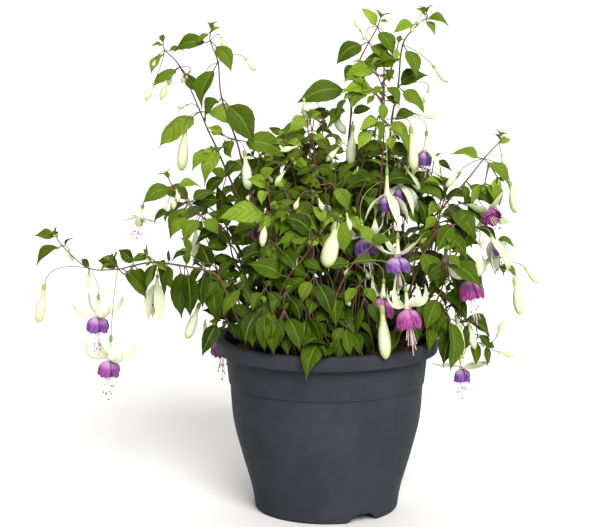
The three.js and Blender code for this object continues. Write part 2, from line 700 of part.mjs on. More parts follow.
// A sepal runs out from the throat in three stretches, each at its own angle from the bloom's axis.
function makeSepal(end, axis, radial, { sepals, size }) {
  const path = [end.clone().addScaledVector(radial, SEPAL_SEAT).addScaledVector(axis, -SEPAL_SEAT)];
  sepals.forEach((degrees) => {
    const angle = THREE.MathUtils.degToRad(degrees);
    const stretch = (size * SEPAL_LENGTH) / sepals.length;
    path.push(path.at(-1).clone()
      .addScaledVector(axis, stretch * Math.cos(angle))
      .addScaledVector(radial, stretch * Math.sin(angle)));
  });
  const halves = SEPAL_OUTLINE.map((share) => share * size * SEPAL_WIDTH);
  const side = axis.clone().cross(radial);
  const rings = halves.map((half, index) => {
    const travel = path[index + 1].clone().sub(path[Math.max(index - 1, 0)]).normalize();
    const back = side.clone().cross(travel);
    const keel = path[index].clone().addScaledVector(back, SEPAL_KEEL);
    const edge = (sign) => path[index].clone().addScaledVector(side, sign * half);
    return [keel, edge(1), edge(-1)];
  });
  return loft([...rings, [path.at(-1)]]);
}

function makeCorolla({ top, end, form }) {
  const { skirt, flare, stamens } = FORMS[form];
  const axis = end.clone().sub(top).normalize();
  const first = squareTo(axis, SKIRT_TURN);
  const second = axis.clone().cross(first);
  const at = (depth) => end.clone().addScaledVector(axis, depth);
  const lobes = (angle) => 1 + SKIRT_LOBES * Math.cos(SEPAL_COUNT * angle);
  const shoulder = SKIRT_SHOULDER_WIDTH * flare;
  const turn = (depth, radius, shape) => ring(at(depth), first, second, radius, SKIRT_SIDES, shape);
  let corolla = loft([
    turn(GAP, 0.75 * THROAT_RADIUS),
    turn(SKIRT_SHOULDER * skirt, shoulder, lobes),
    turn(skirt, flare, lobes),
    turn(skirt - 0.3, flare - SKIRT_WALL, lobes),
    turn(SKIRT_SHOULDER * skirt + 2 * SKIRT_WALL, shoulder - 1.5 * SKIRT_WALL),
  ]);
  for (let index = 0; index < STAMEN_COUNT; index += 1) {
    const angle = (2 * Math.PI * index) / STAMEN_COUNT;
    const aside = first.clone().applyAxisAngle(axis, angle);
    const reach = stamens * (1 - STAMEN_STEP * index);
    const depths = [STAMEN_ROOT * skirt, STAMEN_DEPTHS.neck * reach, STAMEN_DEPTHS.knob * reach];
    const path = depths.map((depth, step) => at(depth).addScaledVector(aside, STAMEN_ASIDE[step]));
    const tip = at(reach + 1).addScaledVector(aside, STAMEN_TIP_ASIDE);
    const rings = ringsAlong(path, [STAMEN_RADIUS, STAMEN_RADIUS, 2 * STAMEN_RADIUS], 3);
    corolla = corolla.add(loft([...rings, [tip]]));
  }
  return corolla;
}

// Assembly
const COLOURS = {
  pot: { color: 0x454a52, roughness: 0.55, metalness: 0 },
  soil: { color: 0x2b2119, roughness: 1, metalness: 0 },
  foliage: { color: 0x4c6a2b, roughness: 0.6, metalness: 0 },
  sepals: { color: 0xf1f0dc, roughness: 0.6, metalness: 0 },
  violet: { color: 0x8a6fb8, roughness: 0.6, metalness: 0 },
  magenta: { color: 0xa5579d, roughness: 0.6, metalness: 0 },
};
const group = new THREE.Group();
const placed = [];

function keep(owner, solid) {
  placed.push({ owner, solid, box: solid.boundingBox() });
  return solid;
}

function apart(a, b) {
  return [0, 1, 2].some((axis) => a.max[axis] < b.min[axis] || b.max[axis] < a.min[axis]);
}

// Petioles may meet the pieces of their own shoot, and blades may not.
function isFreeFor(owner) {
  return (solid, alsoOwn) => {
    const box = solid.boundingBox();
    const near = placed.filter((piece) => (alsoOwn || piece.owner !== owner) && !apart(piece.box, box));
    return near.every((piece) => piece.solid.intersect(solid).volume() < 1e-6);
  };
}

function addMesh(name, solid, colour) {
  const { vertProperties, triVerts } = solid.getMesh();
  const geometry = new THREE.BufferGeometry();
  geometry.setAttribute("position", new THREE.BufferAttribute(Float32Array.from(vertProperties), 3));
  geometry.setIndex(new THREE.BufferAttribute(Uint32Array.from(triVerts), 1));
  geometry.computeVertexNormals();
  const mesh = new THREE.Mesh(geometry, new THREE.MeshStandardMaterial(COLOURS[colour]));
  mesh.name = name;
  group.add(mesh);
}

function addBlooms(stems) {
  let count = 0;
  for (const { nodes, stem } of stems) {
    nodes.forEach((entry, index) => {
      entry.parts.filter((part) => part.kind === "bloom").forEach((part) => {
        count += 1;
        const name = `bloom_${String(count).padStart(2, "0")}`;
        addMesh(`${name}_calyx`, keep(name, seatCalyx(nodes, index, part, stem)), "sepals");
        addMesh(`${name}_corolla`, keep(name, makeCorolla(part)), FORMS[part.form].corolla);
      });
    });
  }
}

function addShoot({ name, nodes, stem }) {
  let shoot = stem;
  const isFree = isFreeFor(name);
  nodes.forEach((entry, index) => {
    for (const part of entry.parts.filter((item) => item.kind !== "bloom")) {
      const root = rootOn(nodes, index, part);
      const piece = part.kind === "leaf" ? makeLeaf(root, part.tip, isFree) : makeBud(root, part);
      if (piece) shoot = shoot.add(keep(name, piece));
    }
  });
  addMesh(`shoot_${name}`, shoot, "foliage");
}

const random = seededRandom(SEED);
addRearShoots(SHOOTS, random);
addLowPairs(SHOOTS, random);
addMesh("pot", keep("pot", makePot()), "pot");
addMesh("soil", keep("soil", makeSoil(SHOOTS)), "soil");
const stems = Object.entries(SHOOTS).map(([name, nodes]) => (
  { name, nodes, stem: keep(name, makeStem(nodes)) }));
addBlooms(stems);
stems.forEach(addShoot);

export default group;
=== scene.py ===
# A trailing fuchsia in a round plastic pot, dressed over its solids.
# The plan is in millimetres, with the origin in the middle of the pot's base, +Z up and -Y the front.
import math
from dataclasses import dataclass, field
from functools import lru_cache
from itertools import takewhile

import bpy
import numpy as np
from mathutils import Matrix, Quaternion, Vector
from mathutils.kdtree import KDTree


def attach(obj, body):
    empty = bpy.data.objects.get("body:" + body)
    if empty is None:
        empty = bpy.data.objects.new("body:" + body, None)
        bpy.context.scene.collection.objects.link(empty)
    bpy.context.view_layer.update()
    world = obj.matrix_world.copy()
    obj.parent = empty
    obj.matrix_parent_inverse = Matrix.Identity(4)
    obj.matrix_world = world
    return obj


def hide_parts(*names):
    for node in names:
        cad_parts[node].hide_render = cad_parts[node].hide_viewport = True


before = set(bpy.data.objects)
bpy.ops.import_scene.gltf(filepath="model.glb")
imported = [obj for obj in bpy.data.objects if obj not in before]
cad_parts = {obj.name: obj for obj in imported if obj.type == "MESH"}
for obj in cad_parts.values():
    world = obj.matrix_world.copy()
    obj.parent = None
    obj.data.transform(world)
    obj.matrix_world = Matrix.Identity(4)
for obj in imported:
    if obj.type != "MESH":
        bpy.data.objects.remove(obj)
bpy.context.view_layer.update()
MM = 0.001
UP = Vector((0, 0, 1))

# Camera
CAMERA_PLACE = (0.01064, -2.46367, 0.7135)
CAMERA_PITCH = 9.51
CAMERA_TURN = 0.998
CAMERA_LENS = 124.06

# Pot
POT_HEIGHT = 213
RIM_RADIUS = 135
RIM_DEPTH = 17
BASE_RADIUS = 87
WALL = 2.4
BAND_HEIGHT = 156.5
BAND_RADIUS = 117.4
BAND_STEP = 1.6
NECK_RADIUS = 123.8
POT_SIDES = 160
NOTCH_AZIMUTHS = (-59, 121)
NOTCH_WIDTH = 40
NOTCH_HEIGHT = 10
CHANNEL_INNER = 46
CHANNEL_OUTER = 77
CHANNEL_HEIGHT = 10

# Soil
SOIL_TOP = 193
HOLE_DEPTH = 24
GAP = 0.3
SOIL_SIDES = 96
SOIL_RADIUS = 119
SOIL_RINGS = 30
CRUMBS = 900
CRUMB_RADIUS = 118

# Stems and stalks
STEM_FOOT_RADIUS = 2.2
STEM_TIP_RADIUS = 0.65
STEM_STEPS = 6
STEM_SIDES = 8
STALK_SIDES = 5
PETIOLE_SHARE = 0.15
PETIOLE_RADIUS = 0.75
PEDICEL_RADIUS = 0.5

# Leaves
LEAF_WIDTH_SHARE = 0.58
LEAF_ARCH = 0.07
LEAF_BOW = 0.13
BOW_LIMIT = 0.35
LEAF_THICKNESS = 0.45
LEAF_DROP = 4
# A leaf's middle, as a share of the way from its node to its tip
LEAF_MIDDLE = 0.6
# Depth behind which leaves face the back
BACK_START = 40
SMALL_LEAF = 26
FACING_SPREAD = 0.7
LEAF_BENDS = (0, 14, -14, 28, -28, 42, -42)
LEAF_COLUMNS = np.array([-1, -0.68, -0.3, 0, 0.3, 0.68, 1])
LEAF_ROWS = 13
FILL_ROWS = 11
SMALL_ROWS = 8
# Lowest and highest value of each trait that leaves differ in
LEAF_TRAITS = {
    "width": (0.9, 1.08),
    "fold": (0.05, 0.75),
    "cup": (0.1, 0.45),
    "wave": (0.04, 0.14),
    "phase": (0, 1),
    "arch": (0.4, 1.3),
    "sickle": (-0.05, 0.05),
    "twist": (-0.6, 0.6),
}
# Leaves get painted shade low down and painted light high up, and low leaves without a solid are narrower.
PAINTED_LIGHT_HEIGHTS = (240, 340, 420, 540)
PAINTED_LIGHT_SHIFTS = (-0.55, -0.15, 0.22, 0.1)
RIPE_SPREAD = 0.18
AGE_AND_LIGHT_LIMITS = (-0.5, 1.1)
SLIM_HEIGHTS = (250, 340)
SLIM_SHARES = (0.82, 1)
TIP_AGE = 1.1

# Buds: width along a young and a full one, against its belly's
BUD_SHARES = np.array([0, 0.03, 0.09, 0.15, 0.19, 0.3, 0.38, 0.46, 0.56, 0.68, 0.8, 0.9, 0.96, 1])
YOUNG_BUD = np.array([0.25, 0.38, 0.46, 0.4, 0.35, 0.42, 0.58, 0.8, 0.97, 1, 0.8, 0.5, 0.27, 0.06])
FULL_BUD = np.array([0.25, 0.38, 0.46, 0.4, 0.37, 0.44, 0.62, 0.84, 0.96, 1, 0.97, 0.8, 0.48, 0.08])
BUD_SIDES = 12
# Length up to which a bud is young, how much longer a full one is, and how many tips bear no small bud
YOUNG_BUD_LENGTH = 18
BUD_GROWTH = 30
BUDLESS_SHARE = 0.45

# Blooms
THROAT_RADIUS = 4.2
SEPAL_COUNT = 4
SEPAL_LENGTH = 43
SEPAL_WIDTH = 14.5
SEPAL_WIDEST = 0.38
SEPAL_THICKNESS = 0.75
SEPAL_ROWS = 14
SEPAL_COLUMNS = np.array([-1, -0.6, 0, 0.6, 1])
PETAL_LAYERS = (1, 0.74)
PETAL_HALF_TURN = 60
PETAL_THICKNESS = 0.35
PETAL_ROWS = 9
PETAL_COLUMNS = 11
STAMEN_COUNT = 8
# Places along the seed pod and the tube, as shares of the two, and along a stamen's head, with the
# widths there
POD = (0, 0.05, 0.12, 0.2, 0.26, 0.3), (0.5, 1.5, 2.2, 2.3, 1.9, 1.5)
TUBE = (0.27, 0.33, 0.45, 0.6, 0.75, 0.88, 0.96, 1), (1.4, 1.7, 1.9, 2.2, 2.8, 3.5, 4.0, 4.1)
STAMEN_HEAD = (-0.3, 0.3, 1.2, 2.1, 2.6), (0.2, 0.85, 1, 0.8, 0.15)


@dataclass
class Form:
    """How a bloom stands open: its petals' colour, the angles of a sepal's stretches from its axis,
    length and flare of its skirt, reach of its stamens, and its sepals' width, size and greenness.
    The greenness is painted shade on the front form and the faded form's own colour."""
    colour: str
    sepals: tuple
    skirt: float
    flare: float
    stamens: float
    slim: float = 1
    size: float = 1
    green: float = 0


FORMS = {
    "open": Form("magenta", (84, 138, 192), 23, 13.5, 46, slim=0.64),
    "arched": Form("violet", (84, 122, 166), 19.5, 12, 42, slim=0.78),
    "young": Form("violet", (98, 124, 138), 18, 14, 38, size=0.95),
    "spread": Form("violet", (84, 92, 104), 16, 9, 30),
    "half": Form("violet", (56, 36, 22), 17, 7, 26, slim=0.8),
    "narrow": Form("violet", (30, 8, 0), 16, 4.6, 22),
    "faded": Form("violet", (66, 82, 78), 8, 4.4, 20, size=0.55, green=0.5),
    # The front form's green sepals are painted shade.
    "front": Form("magenta", (72, 96, 100), 12, 11, 24, size=0.8, green=0.8),
}


@dataclass
class Part:
    """A leaf or, from its top to its tip, a bud or a bloom, whose kind is the name of its form."""
    kind: str
    tip: Vector
    top: Vector = None
    facing: Vector = None
    girth: float = 1
    blush: float = 0


@dataclass
class Node:
    place: Vector
    parts: list = field(default_factory=list)


@dataclass
class Habit:
    """How a shoot grows: its stem's thickness and age, the rows of its leaves, how much lighter they are
    painted, partly as younger leaves and partly with painted light, whether small buds sit near its tip
    and whether it has no solid."""
    thickness: float = 1
    age: float = 0
    rows: int = LEAF_ROWS
    youth_and_painted_light: float = 0
    budding: bool = True
    free: bool = True


def foot(x, y):
    return Node(Vector((x, y, SOIL_TOP - HOLE_DEPTH + GAP)))


def read_place(text):
    return Vector([float(word) for word in text.split()])


def read_part(text):
    """Reads words that are each followed by their numbers. A leaf's tip has no word."""
    numbers = {}
    word = "leaf"
    for item in text.split():
        if item.isalpha():
            word = item
        else:
            numbers.setdefault(word, []).append(float(item))
    kind = next(iter(numbers))
    if kind == "leaf":
        facing = numbers.get("facing")
        return Part(kind, Vector(numbers[kind]), facing=facing and Vector(facing))
    traits = {word: numbers[word][0] for word in ("girth", "blush") if word in numbers}
    return Part(kind, Vector(numbers["to"]), Vector(numbers[kind]), **traits)


def read_shoots(text):
    """A line with a colon names a shoot and the place of its foot, if it stands in the soil. Each
    line below it is a node: its place, the tips of its leaves, and its buds and blooms, each with the
    two ends of its body. A line that ends in a comma goes on below."""
    shoots = {}
    for line in text.strip().replace(",\n", ",").splitlines():
        if ":" in line:
            name, base = line.split(":")
            nodes = shoots[name] = [foot(*read_place(base + " 0").xy)] if base else []
        else:
            place, *parts = line.split(",")
            nodes.append(Node(read_place(place), [read_part(part) for part in parts]))
    return shoots


SHOOTS = read_shoots("""
left_tall_rear: -42 14
-79 14 300
-102 20 365, -71 0 351, -137 20 343
-121 24 408, -147 20 375
-134 24 439, -162 14 412
-144 24 460, -124 16 453
-153 24 482, -202 12 439, -104 34 461, bud -170 14 468 to -176 14 411, bud -168 34 490 to -182 36 485
-177 24 536, -209 14 511, -156 36 500, bud -190 14 521 to -200 12 497, bud -165 30 531 to -176 28 516
-195 24 556, -212 20 526, -172 30 555, bud -207 10 519 to -218 10 496
-197 24 565, -211 20 561
left_tall_front: -22 -8
-71 -8 325
-88 -12 380, -113 -30 368, -56 0 388
-102 -14 430, -122 -26 408
-108 -14 452, -47 4 426, bud -98 -22 441 to -93 -24 393
-125 -14 502, -86 -26 448, -147 14 471
-129 -14 544, -148 -28 489, bud -97 -14 549 to -84 -16 534
-138 -14 569, -113 -22 533, -183 -6 555
-137 -14 582, -155 -20 564, -126 -8 585
right_tall_rear: 34 22
22 26 344
23 26 393, -11 20 402, 47 0 378
25 24 436, -6 30 433, 52 10 419, bud 31 10 468 to 28 4 420, bud 16 8 443 to -1 4 424
29 20 482, 54 30 486
30 16 512, -36 10 494
38 12 543, 21 -2 520, 87 0 544
50 10 567, 11 4 540, 68 -4 535, bud 40 12 579 to 32 14 594
60 10 585, 38 14 607, 72 -2 544
63 10 595, 73 6 590
right_tall_main: 44 -14
61 -18 339
64 -22 403, 22 -34 395, 102 -10 374, arched 40 -62 365 to 44 -66 342
67 -22 445, 39 -16 439, 100 -8 430
67 -22 476, 39 -36 466, 98 -8 448, bud 99 -26 470 to 103 -28 417, half 71 -40 424 to 71 -42 388,
    half 86 -4 425 to 88 -6 394
67 -22 509, 86 -30 494, bud 107 -20 483 to 129 -20 480
58 -22 533, 75 -30 521, 19 -30 529
right_tall_side: 62 18
80 22 332
75 22 418, 113 30 399, 55 40 410
78 18 475, 107 10 456, half 119 0 463 to 118 -2 437
85 14 514, 117 10 482, 121 20 526, bud 121 14 509 to 116 12 494
90 10 564, 106 -2 525, bud 125 4 540 to 144 4 519
109 8 589, 78 0 577
118 6 595, 144 0 586, 127 -6 576
118 6 601, 111 4 612
right_arm_upper: 78 -2
98 -6 304
120 -10 348, 93 4 371, 136 -2 318
144 -12 378, 105 2 388, 175 -32 335
166 -12 403, 164 -26 377, 204 -20 368, front 187 -26 373 to 192 -36 367
187 -12 430, 148 0 433, 218 -18 392, bud 159 -6 414 to 142 -8 395, bud 219 -4 402 to 226 -6 363
205 -12 450, 218 -4 456
206 -12 456, 200 -8 461
right_arm_lower: 72 -34
99 -44 277
115 -48 321, 127 -58 279, 96 -60 313
129 -48 347, 167 -56 314
155 -44 356, 141 -56 312, 177 -30 368
179 -40 351, 161 -30 323, 204 -50 359, narrow 193 -54 346 to 197 -53 335
201 -38 330, 214 -46 313
206 -36 303, 199 -40 291, 227 -30 290, bud 223 -36 290 to 231 -36 245, bud 235 -36 303 to 252 -36 284
right_low: 90 -52
120 -66 247
134 -70 279, 117 -84 236, 160 -64 254
143 -70 310, 185 -76 281, 119 -84 293, open 165 -82 308 to 167 -84 296
145 -68 329, 133 -60 339, 158 -74 327
right_drop: 98 -24
136 -36 244
149 -42 258, 177 -38 268, 130 -60 219
161 -44 238, 147 -58 181, 195 -38 219, bud 157 -56 237 to 165 -58 207, bud 168 -60 241 to 176 -60 208,
    spread 162 -50 198 to 162 -52 183
176 -44 216, 178 -52 186
192 -44 210, 192 -46 185, bud 203 -44 221 to 211 -44 239, bud 205 -44 202 to 225 -44 197
left_trailer: -84 -22
-117 -32 262
-125 -36 285, -107 -56 252
-141 -36 297, -131 -60 240, -154 -20 330, bud -151 -44 260 to -167 -44 216
-177 -34 304, -172 -50 243
-208 -32 307, -191 -40 270, narrow -202 -34 293 to -203 -34 277
-233 -30 302, -214 -42 274, -250 -20 320
-250 -28 298, -215 -40 264, -275 -16 306, arched -259 -30 219 to -261 -30 187 blush 0.55
-286 -26 299, -295 -16 308, bud -338 -28 280 to -347 -28 232,
    arched -274 -24 268 to -275 -24 240 blush 0.2
-317 -24 326, -348 -28 301, -303 -16 334
-324 -24 338, -350 -20 337, -321 -28 345
left_arm: -64 6
-101 2 307
-126 0 344, -157 -20 327, -105 16 359
-149 -2 357, -171 -16 327, -129 -20 336
-167 -2 376, -133 10 385, -188 -12 333
-185 -2 395, -216 -10 365 facing -0.3 -1 0.1, -152 6 393, bud -180 -6 386 to -185 -8 367,
    faded -221 -2 373 to -225 -2 355 blush -1
-191 -2 406, -196 0 413
centre_left: -16 -46
-64 -62 267
-63 -68 326, -101 -80 316, -24 -76 344
-65 -68 372, -126 -72 366, -36 -60 386, bud -71 -80 367 to -75 -84 334
-69 -64 401, -95 -50 409, -75 -86 383
front_left: -34 -84
-60 -98 257
-53 -102 282, -82 -116 253, -30 -112 263
-44 -104 303, -91 -100 317, -20 -112 284
-27 -100 324, -52 -92 344, -5 -112 310
-10 -96 347, -55 -98 373, 20 -104 334
2 -90 365, -17 -80 382, 18 -92 374, bud 12 -104 367 to 0 -108 314 girth 1.5
front_middle: 2 -90
2 -104 222, -23 -146 190
8 -108 262, 30 -124 242, -16 -120 252
12 -108 283, 8 -126 255, 30 -112 275
32 -104 320, 0 -110 321, 58 -96 319, bud 64 -122 273 to 69 -126 210, open 67 -84 298 to 66 -86 275,
    open 90 -146 300 to 93 -150 274
53 -96 338, 34 -84 362, 76 -92 344, young 83 -80 352 to 83 -82 323
""")

# Shoots inside the bush, which have no solid of their own
INNER_SHOOTS = read_shoots("""
middle_rear: 6 60
-33 58 293
-33 58 352, -58 46 332, -6 46 345
-30 54 398, -53 42 377, -6 42 385
-23 50 433, -51 38 422, 4 38 412
-18 48 458, -62 36 449, 11 36 447
-16 46 473, -33 34 481, -1 34 486
left_rear: -30 52
-81 72 290
-81 80 348, -108 68 329, -52 68 341
-71 84 394, -95 72 373, -43 72 386
-62 84 427, -88 72 418, -34 72 418
-56 84 448, -73 72 458, -36 72 453
right_rear: 50 56
116 70 288
122 80 336, 93 68 319, 147 68 324
125 84 373, 100 72 362, 154 72 369
130 84 402, 105 72 408
132 84 417, 154 72 404
left_low: -88 -44
-115 -62 267, -129 -76 239, -120 -84 250
-127 -64 295, -142 -70 269, -110 -80 316
-145 -66 304, -145 -76 259, -161 -60 317
-168 -64 308, -171 -72 247, -160 -78 248, -177 -62 327, -161 -60 328
-189 -60 311, -191 -62 273, -187 -56 327
-206 -56 311, -188 -68 303, -211 -70 280
left_mid: -72 8
-104 -8 304, -83 -36 306, -123 -28 302
-118 -14 328, -144 -30 324, -98 -24 333
-136 -18 345, -156 -26 326, -113 -34 327
-151 -22 362, -128 -36 341, -170 -38 331
-166 -18 362, -187 -24 334
rim_left: -98 -36
-119 -56 244, -107 -70 221
-128 -72 244, -146 -84 204
curtain_1: -62 -78
-89 -100 260, -85 -114 220, -102 -112 234
-96 -106 294, -120 -118 258, -86 -122 269
curtain_2: -40 -98
-72 -112 251, -89 -120 231
-72 -116 270, -71 -126 218, -58 -122 243
curtain_3: -14 -104
-49 -112 241, -44 -122 213
-48 -118 265, -60 -130 215, -30 -130 219
curtain_4: 20 -104
-15 -110 255, -9 -120 219, 0 -120 234
-14 -112 305, 6 -124 258, -28 -118 273
curtain_5: 44 -94
30 -106 255, 33 -120 234, 53 -116 233
39 -108 295, 22 -120 272, 58 -104 266
curtain_6: 34 -108
22 -116 235, 14 -122 205, 2 -122 210
24 -118 247, 39 -124 213
curtain_7: 76 -78
84 -94 240, 74 -112 213, 60 -112 218
93 -98 258, 105 -104 221, 83 -112 230
rim_right: 102 -36
120 -58 248, 120 -80 207, 138 -68 231
122 -60 268, 141 -66 254, 108 -76 244
centre_high: 14 -34
18 -62 313, 0 -84 295
17 -68 345, 31 -86 323, 0 -84 328
22 -68 371, -8 -86 351, 39 -78 351
centre_bright: -26 -44
-60 -80 316, -20 -102 300, -86 -98 296
-58 -76 341, -60 -96 311, -75 -92 315
-59 -76 373, -9 -96 353, -80 -84 352
centre_fold: 2 -56
-17 -84 314, 4 -104 304, -33 -100 284
-18 -90 347, -59 -102 339, -35 -104 320
crown_left: -14 14
-37 10 389, -66 -8 374, -15 -6 379
-44 8 426, -78 -8 413, -25 -4 413
-52 6 450, -78 -4 436, -28 2 441
crown_middle: 2 6
-18 -4 379, 4 -20 374, -37 -22 362
-15 -4 421, -37 -16 409, 9 -14 407
-17 -6 454, 4 -14 438
-21 -6 480, -46 -16 462
crown_right: 40 6
42 0 366, 21 -20 354, 64 -20 350
40 -2 408, 18 -18 402, 61 -18 398
44 -4 428, 66 -16 421
left_inner: -48 -16
-80 -18 300, -108 -30 286, -62 -32 280
-82 -22 334, -114 -34 328, -70 -40 300
-78 -22 356, -112 -30 340, -56 -36 330, -100 -34 326
right_dark: 80 20
123 12 313, 103 -6 304, 144 -6 304
132 8 351, 112 -10 365, 155 -6 348
137 4 376, 117 -10 402, 149 -10 404, 121 -16 361
right_mid: 84 -8
121 -22 299, 99 -36 287, 142 -36 280
128 -26 348, 167 -48 312, 108 -40 336
146 -28 372, 176 -44 337, 158 -34 352
163 -26 379, 188 -38 352
right_inner: 76 -42
99 -56 276, 84 -76 256, 119 -76 263
104 -58 313, 91 -76 289, 126 -66 307
109 -60 332, 130 -76 285, 88 -70 326
left_back: -52 30
-108 24 291, -147 10 301, -86 12 298
-118 26 320, -149 14 316, -100 14 342
-123 26 347, -145 14 360, -103 14 327
-128 26 377, -166 14 370, -108 14 374
-122 24 404, -142 12 413, -94 12 410
left_behind: -84 30
-112 50 250, -140 60 262, -96 66 230
-122 60 268, -150 66 246, -112 84 262, open -129 77 215 to -130 77 193
-130 66 276, -158 60 268, -132 84 256
left_side: -66 20
-127 4 284, -158 -10 279, -100 -8 287
-139 2 314, -162 -12 299, -119 -12 302
-147 0 336, -168 -14 348, -129 -12 335
right_back: 70 30
126 20 300, 103 6 275, 152 6 290
133 22 331, 105 8 321, 159 8 321
137 22 361, 106 8 377, 163 8 360
142 22 376, 129 10 411, 172 10 382, bud 93 14 418 to 112 10 388
144 22 395, 114 10 397, 162 10 411
right_side: 92 10
151 0 303, 136 -14 279, 182 -14 301, bud 143 -18 325 to 142 -20 303
163 0 335, 141 -14 318, 186 -14 323, bud 149 -14 347 to 155 -16 330
170 0 362, 147 -14 347, 190 -14 371
179 0 383, 164 -12 375, 202 -14 378, bud 192 -10 397 to 198 -12 380
top_back: 10 30
-13 34 386, -35 20 392, 13 20 385, bud -18 14 388 to 6 8 361
-11 34 423, -33 20 414, 16 20 424
-6 34 452, -28 20 444, 20 20 446, bud 3 30 479 to 22 26 455
-3 34 476, -22 20 475, 19 20 485, bud -26 34 499 to -28 32 473
twig_left_3:
-133 24 437
-137 10 437, -162 0 413
twig_right_5:
193 -12 425
203 -20 408, 197 -28 380
twig_top_1:
66 -22 500
55 -26 509, 16 -40 510, 47 -24 495
47 -30 513, 27 -46 491
twig_top_2:
61 -22 528
51 -22 537, 20 -36 523, 83 -34 548
44 -20 540, 27 -20 545
twig_top_3:
64 -22 518
77 -14 540, 74 -30 524, 89 -4 549
84 -8 566, 79 -20 546
twig_top_4:
68 -22 473
61 -28 482, 38 -38 465, 61 -38 449
56 -26 461, 37 -30 442, 39 -16 452
twig_top_5:
68 -22 470
75 -26 470, 90 -34 460, 97 -36 433
82 -20 458, 99 -18 446, 77 -30 440
twig_top_6:
29 19 492
23 12 505, 12 2 472
18 14 488, -1 6 462
twig_top_7:
67 -22 500
67 -26 521, 85 -36 495, 54 -34 504
67 -24 541, 79 -34 525, 84 -30 549
66 -22 552, 52 -30 541
twig_top_8:
67 -22 494
54 -28 513, 19 -38 501
45 -30 520, 28 -38 527
twig_top_9:
67 -22 478
65 -26 504, 66 -34 474, 84 -30 492
crown_back: 4 20
-14 20 420, -34 8 400, 6 8 404
-22 14 455, -46 6 440, 2 4 446
-24 10 478, -44 0 470, -6 0 483, bud -28 2 501 to -24 0 476
left_curtain: -84 -30
-128 -40 296, -134 -50 272, -110 -52 286
-148 -40 308, -162 -50 280, -140 -52 262
-164 -34 318, -186 -36 308, -176 -30 338
right_curtain: 96 -30
134 -50 262, 142 -64 226, 124 -62 236
142 -52 276, 166 -60 240, 172 -54 268, bud 153 -60 250 to 161 -62 207
curtain_8: -60 -92
-77 -112 269, -71 -122 218, -94 -120 226
-70 -112 291, -85 -124 265, -53 -120 266
curtain_9: -32 -104
-49 -118 266, -60 -126 217, -39 -122 229
-46 -116 287, -30 -126 254, -62 -124 260
curtain_10: -8 -108
-23 -118 264, -24 -128 219, -7 -124 225
curtain_11: 36 -104
23 -118 252, 28 -128 213, 9 -122 222
curtain_12: 58 -94
44 -110 279, 35 -122 234, 60 -112 246
rim_front: 14 -106
-2 -112 237, -23 -153 191
2 -110 250, 16 -118 233
twig_right_6:
141 -70 304
134 -96 319, 179 -120 291, 118 -100 299
138 -100 331, 154 -112 315
twig_right_7:
193 -12 425
187 -24 399, 205 -34 374, 170 -34 376
behind_1: 62 6
95 6 302, 119 -4 276, 70 -2 291
93 8 336, 122 -2 316, 69 0 322
94 8 368, 119 -2 347, 71 0 354
right_fill: 90 -8
125 -30 281, 142 -42 257, 109 -42 259
128 -30 313, 151 -42 288, 110 -42 288
131 -26 341, 156 -38 321, 112 -38 317
135 -20 364, 163 -32 349, 116 -32 347
left_fill: -88 -22
-119 -50 238, -127 -66 220, -98 -60 216
-112 -52 265, -133 -64 246, -90 -62 241
-110 -50 289, -133 -60 272, -88 -60 272
twig_buds_1:
-44 8 426
-37 -22 429, -54 -36 419, bud -34 -36 447 to -55 -42 442, bud -49 -44 419 to -61 -48 402
twig_buds_2:
22 -68 371
21 -74 384, 35 -84 373, bud 23 -86 375 to 28 -90 354, bud 17 -86 372 to 5 -90 353
twig_buds_3:
-16 46 473
-9 40 468, 6 34 481, bud -18 34 481 to -26 30 462, bud 13 34 475 to 22 30 455
twig_left_1:
-133 24 437
-123 8 442, -147 -4 395, -114 -2 429
twig_left_2:
-108 -14 452
-117 -20 455, -114 -28 436
-125 -16 460, -142 -18 467
twig_trailer_1:
-195 -33 308
-203 -40 309, -213 -54 277, -190 -52 300
-212 -44 317, -232 -50 310
twig_trailer_2:
-230 -33 304
-240 -42 294, -214 -54 268
-255 -40 309, -269 -46 297, -248 -44 324
twig_right_1:
157 -12 378
170 -22 374, 188 -34 351, 177 -36 367
twig_right_2:
145 -48 318
141 -56 305, 152 -64 273, 131 -66 281
146 -58 289, 122 -66 269, 174 -62 270
twig_right_3:
146 -50 275
141 -60 263, 127 -72 219, 160 -68 243
144 -64 247, 146 -76 184, 120 -70 215
twig_right_4:
161 -44 238
175 -52 240, 193 -58 220, 165 -62 214
180 -54 223, 158 -64 206, 191 -58 205
""")

# Rear shoots, which lean out evenly around the back of the pot
REAR_SHOOTS = 5
REAR_FIRST_AZIMUTH = 14
REAR_LAST_AZIMUTH = 166
REAR_FOOT = 70
REAR_REACH = 190
REAR_RISE = 175
REAR_NODES = 6
REAR_LEAF = 50
LOW_LEAF = 54
SEED = 7
MASK = 0xFFFFFFFF


def seeded_random(seed):
    """Draws between 0 and 1 by the mulberry32 rule, which the solids' plan also follows."""
    state = seed

    def draw():
        nonlocal state
        state = (state + 0x6D2B79F5) & MASK
        mixed = ((state ^ (state >> 15)) * (1 | state)) & MASK
        mixed = ((mixed + (mixed ^ (mixed >> 7)) * (61 | mixed)) & MASK) ^ mixed
        return ((mixed ^ (mixed >> 14)) & MASK) / 2**32

    return draw


def outward_and_across(turn):
    out = Vector((math.cos(turn), math.sin(turn), 0))
    return out, Vector((-out.y, out.x, 0))


def leaf_towards(place, along, length):
    return Part("leaf", place + along.normalized() * length)


def rear_leaf(place, out, across, sign, step, length, draw):
    """Pairs stand sideways and, at every other node, one above the other."""
    sideways = 1 if step % 2 == 0 else 0.45
    along = across * (sign * sideways) + out * (0.75 - 0.5 * sideways + 0.2 * draw())
    along.z = (-0.25 if step % 2 == 0 else 0.5 * sign) - 0.2 * draw()
    return leaf_towards(place, along, length)


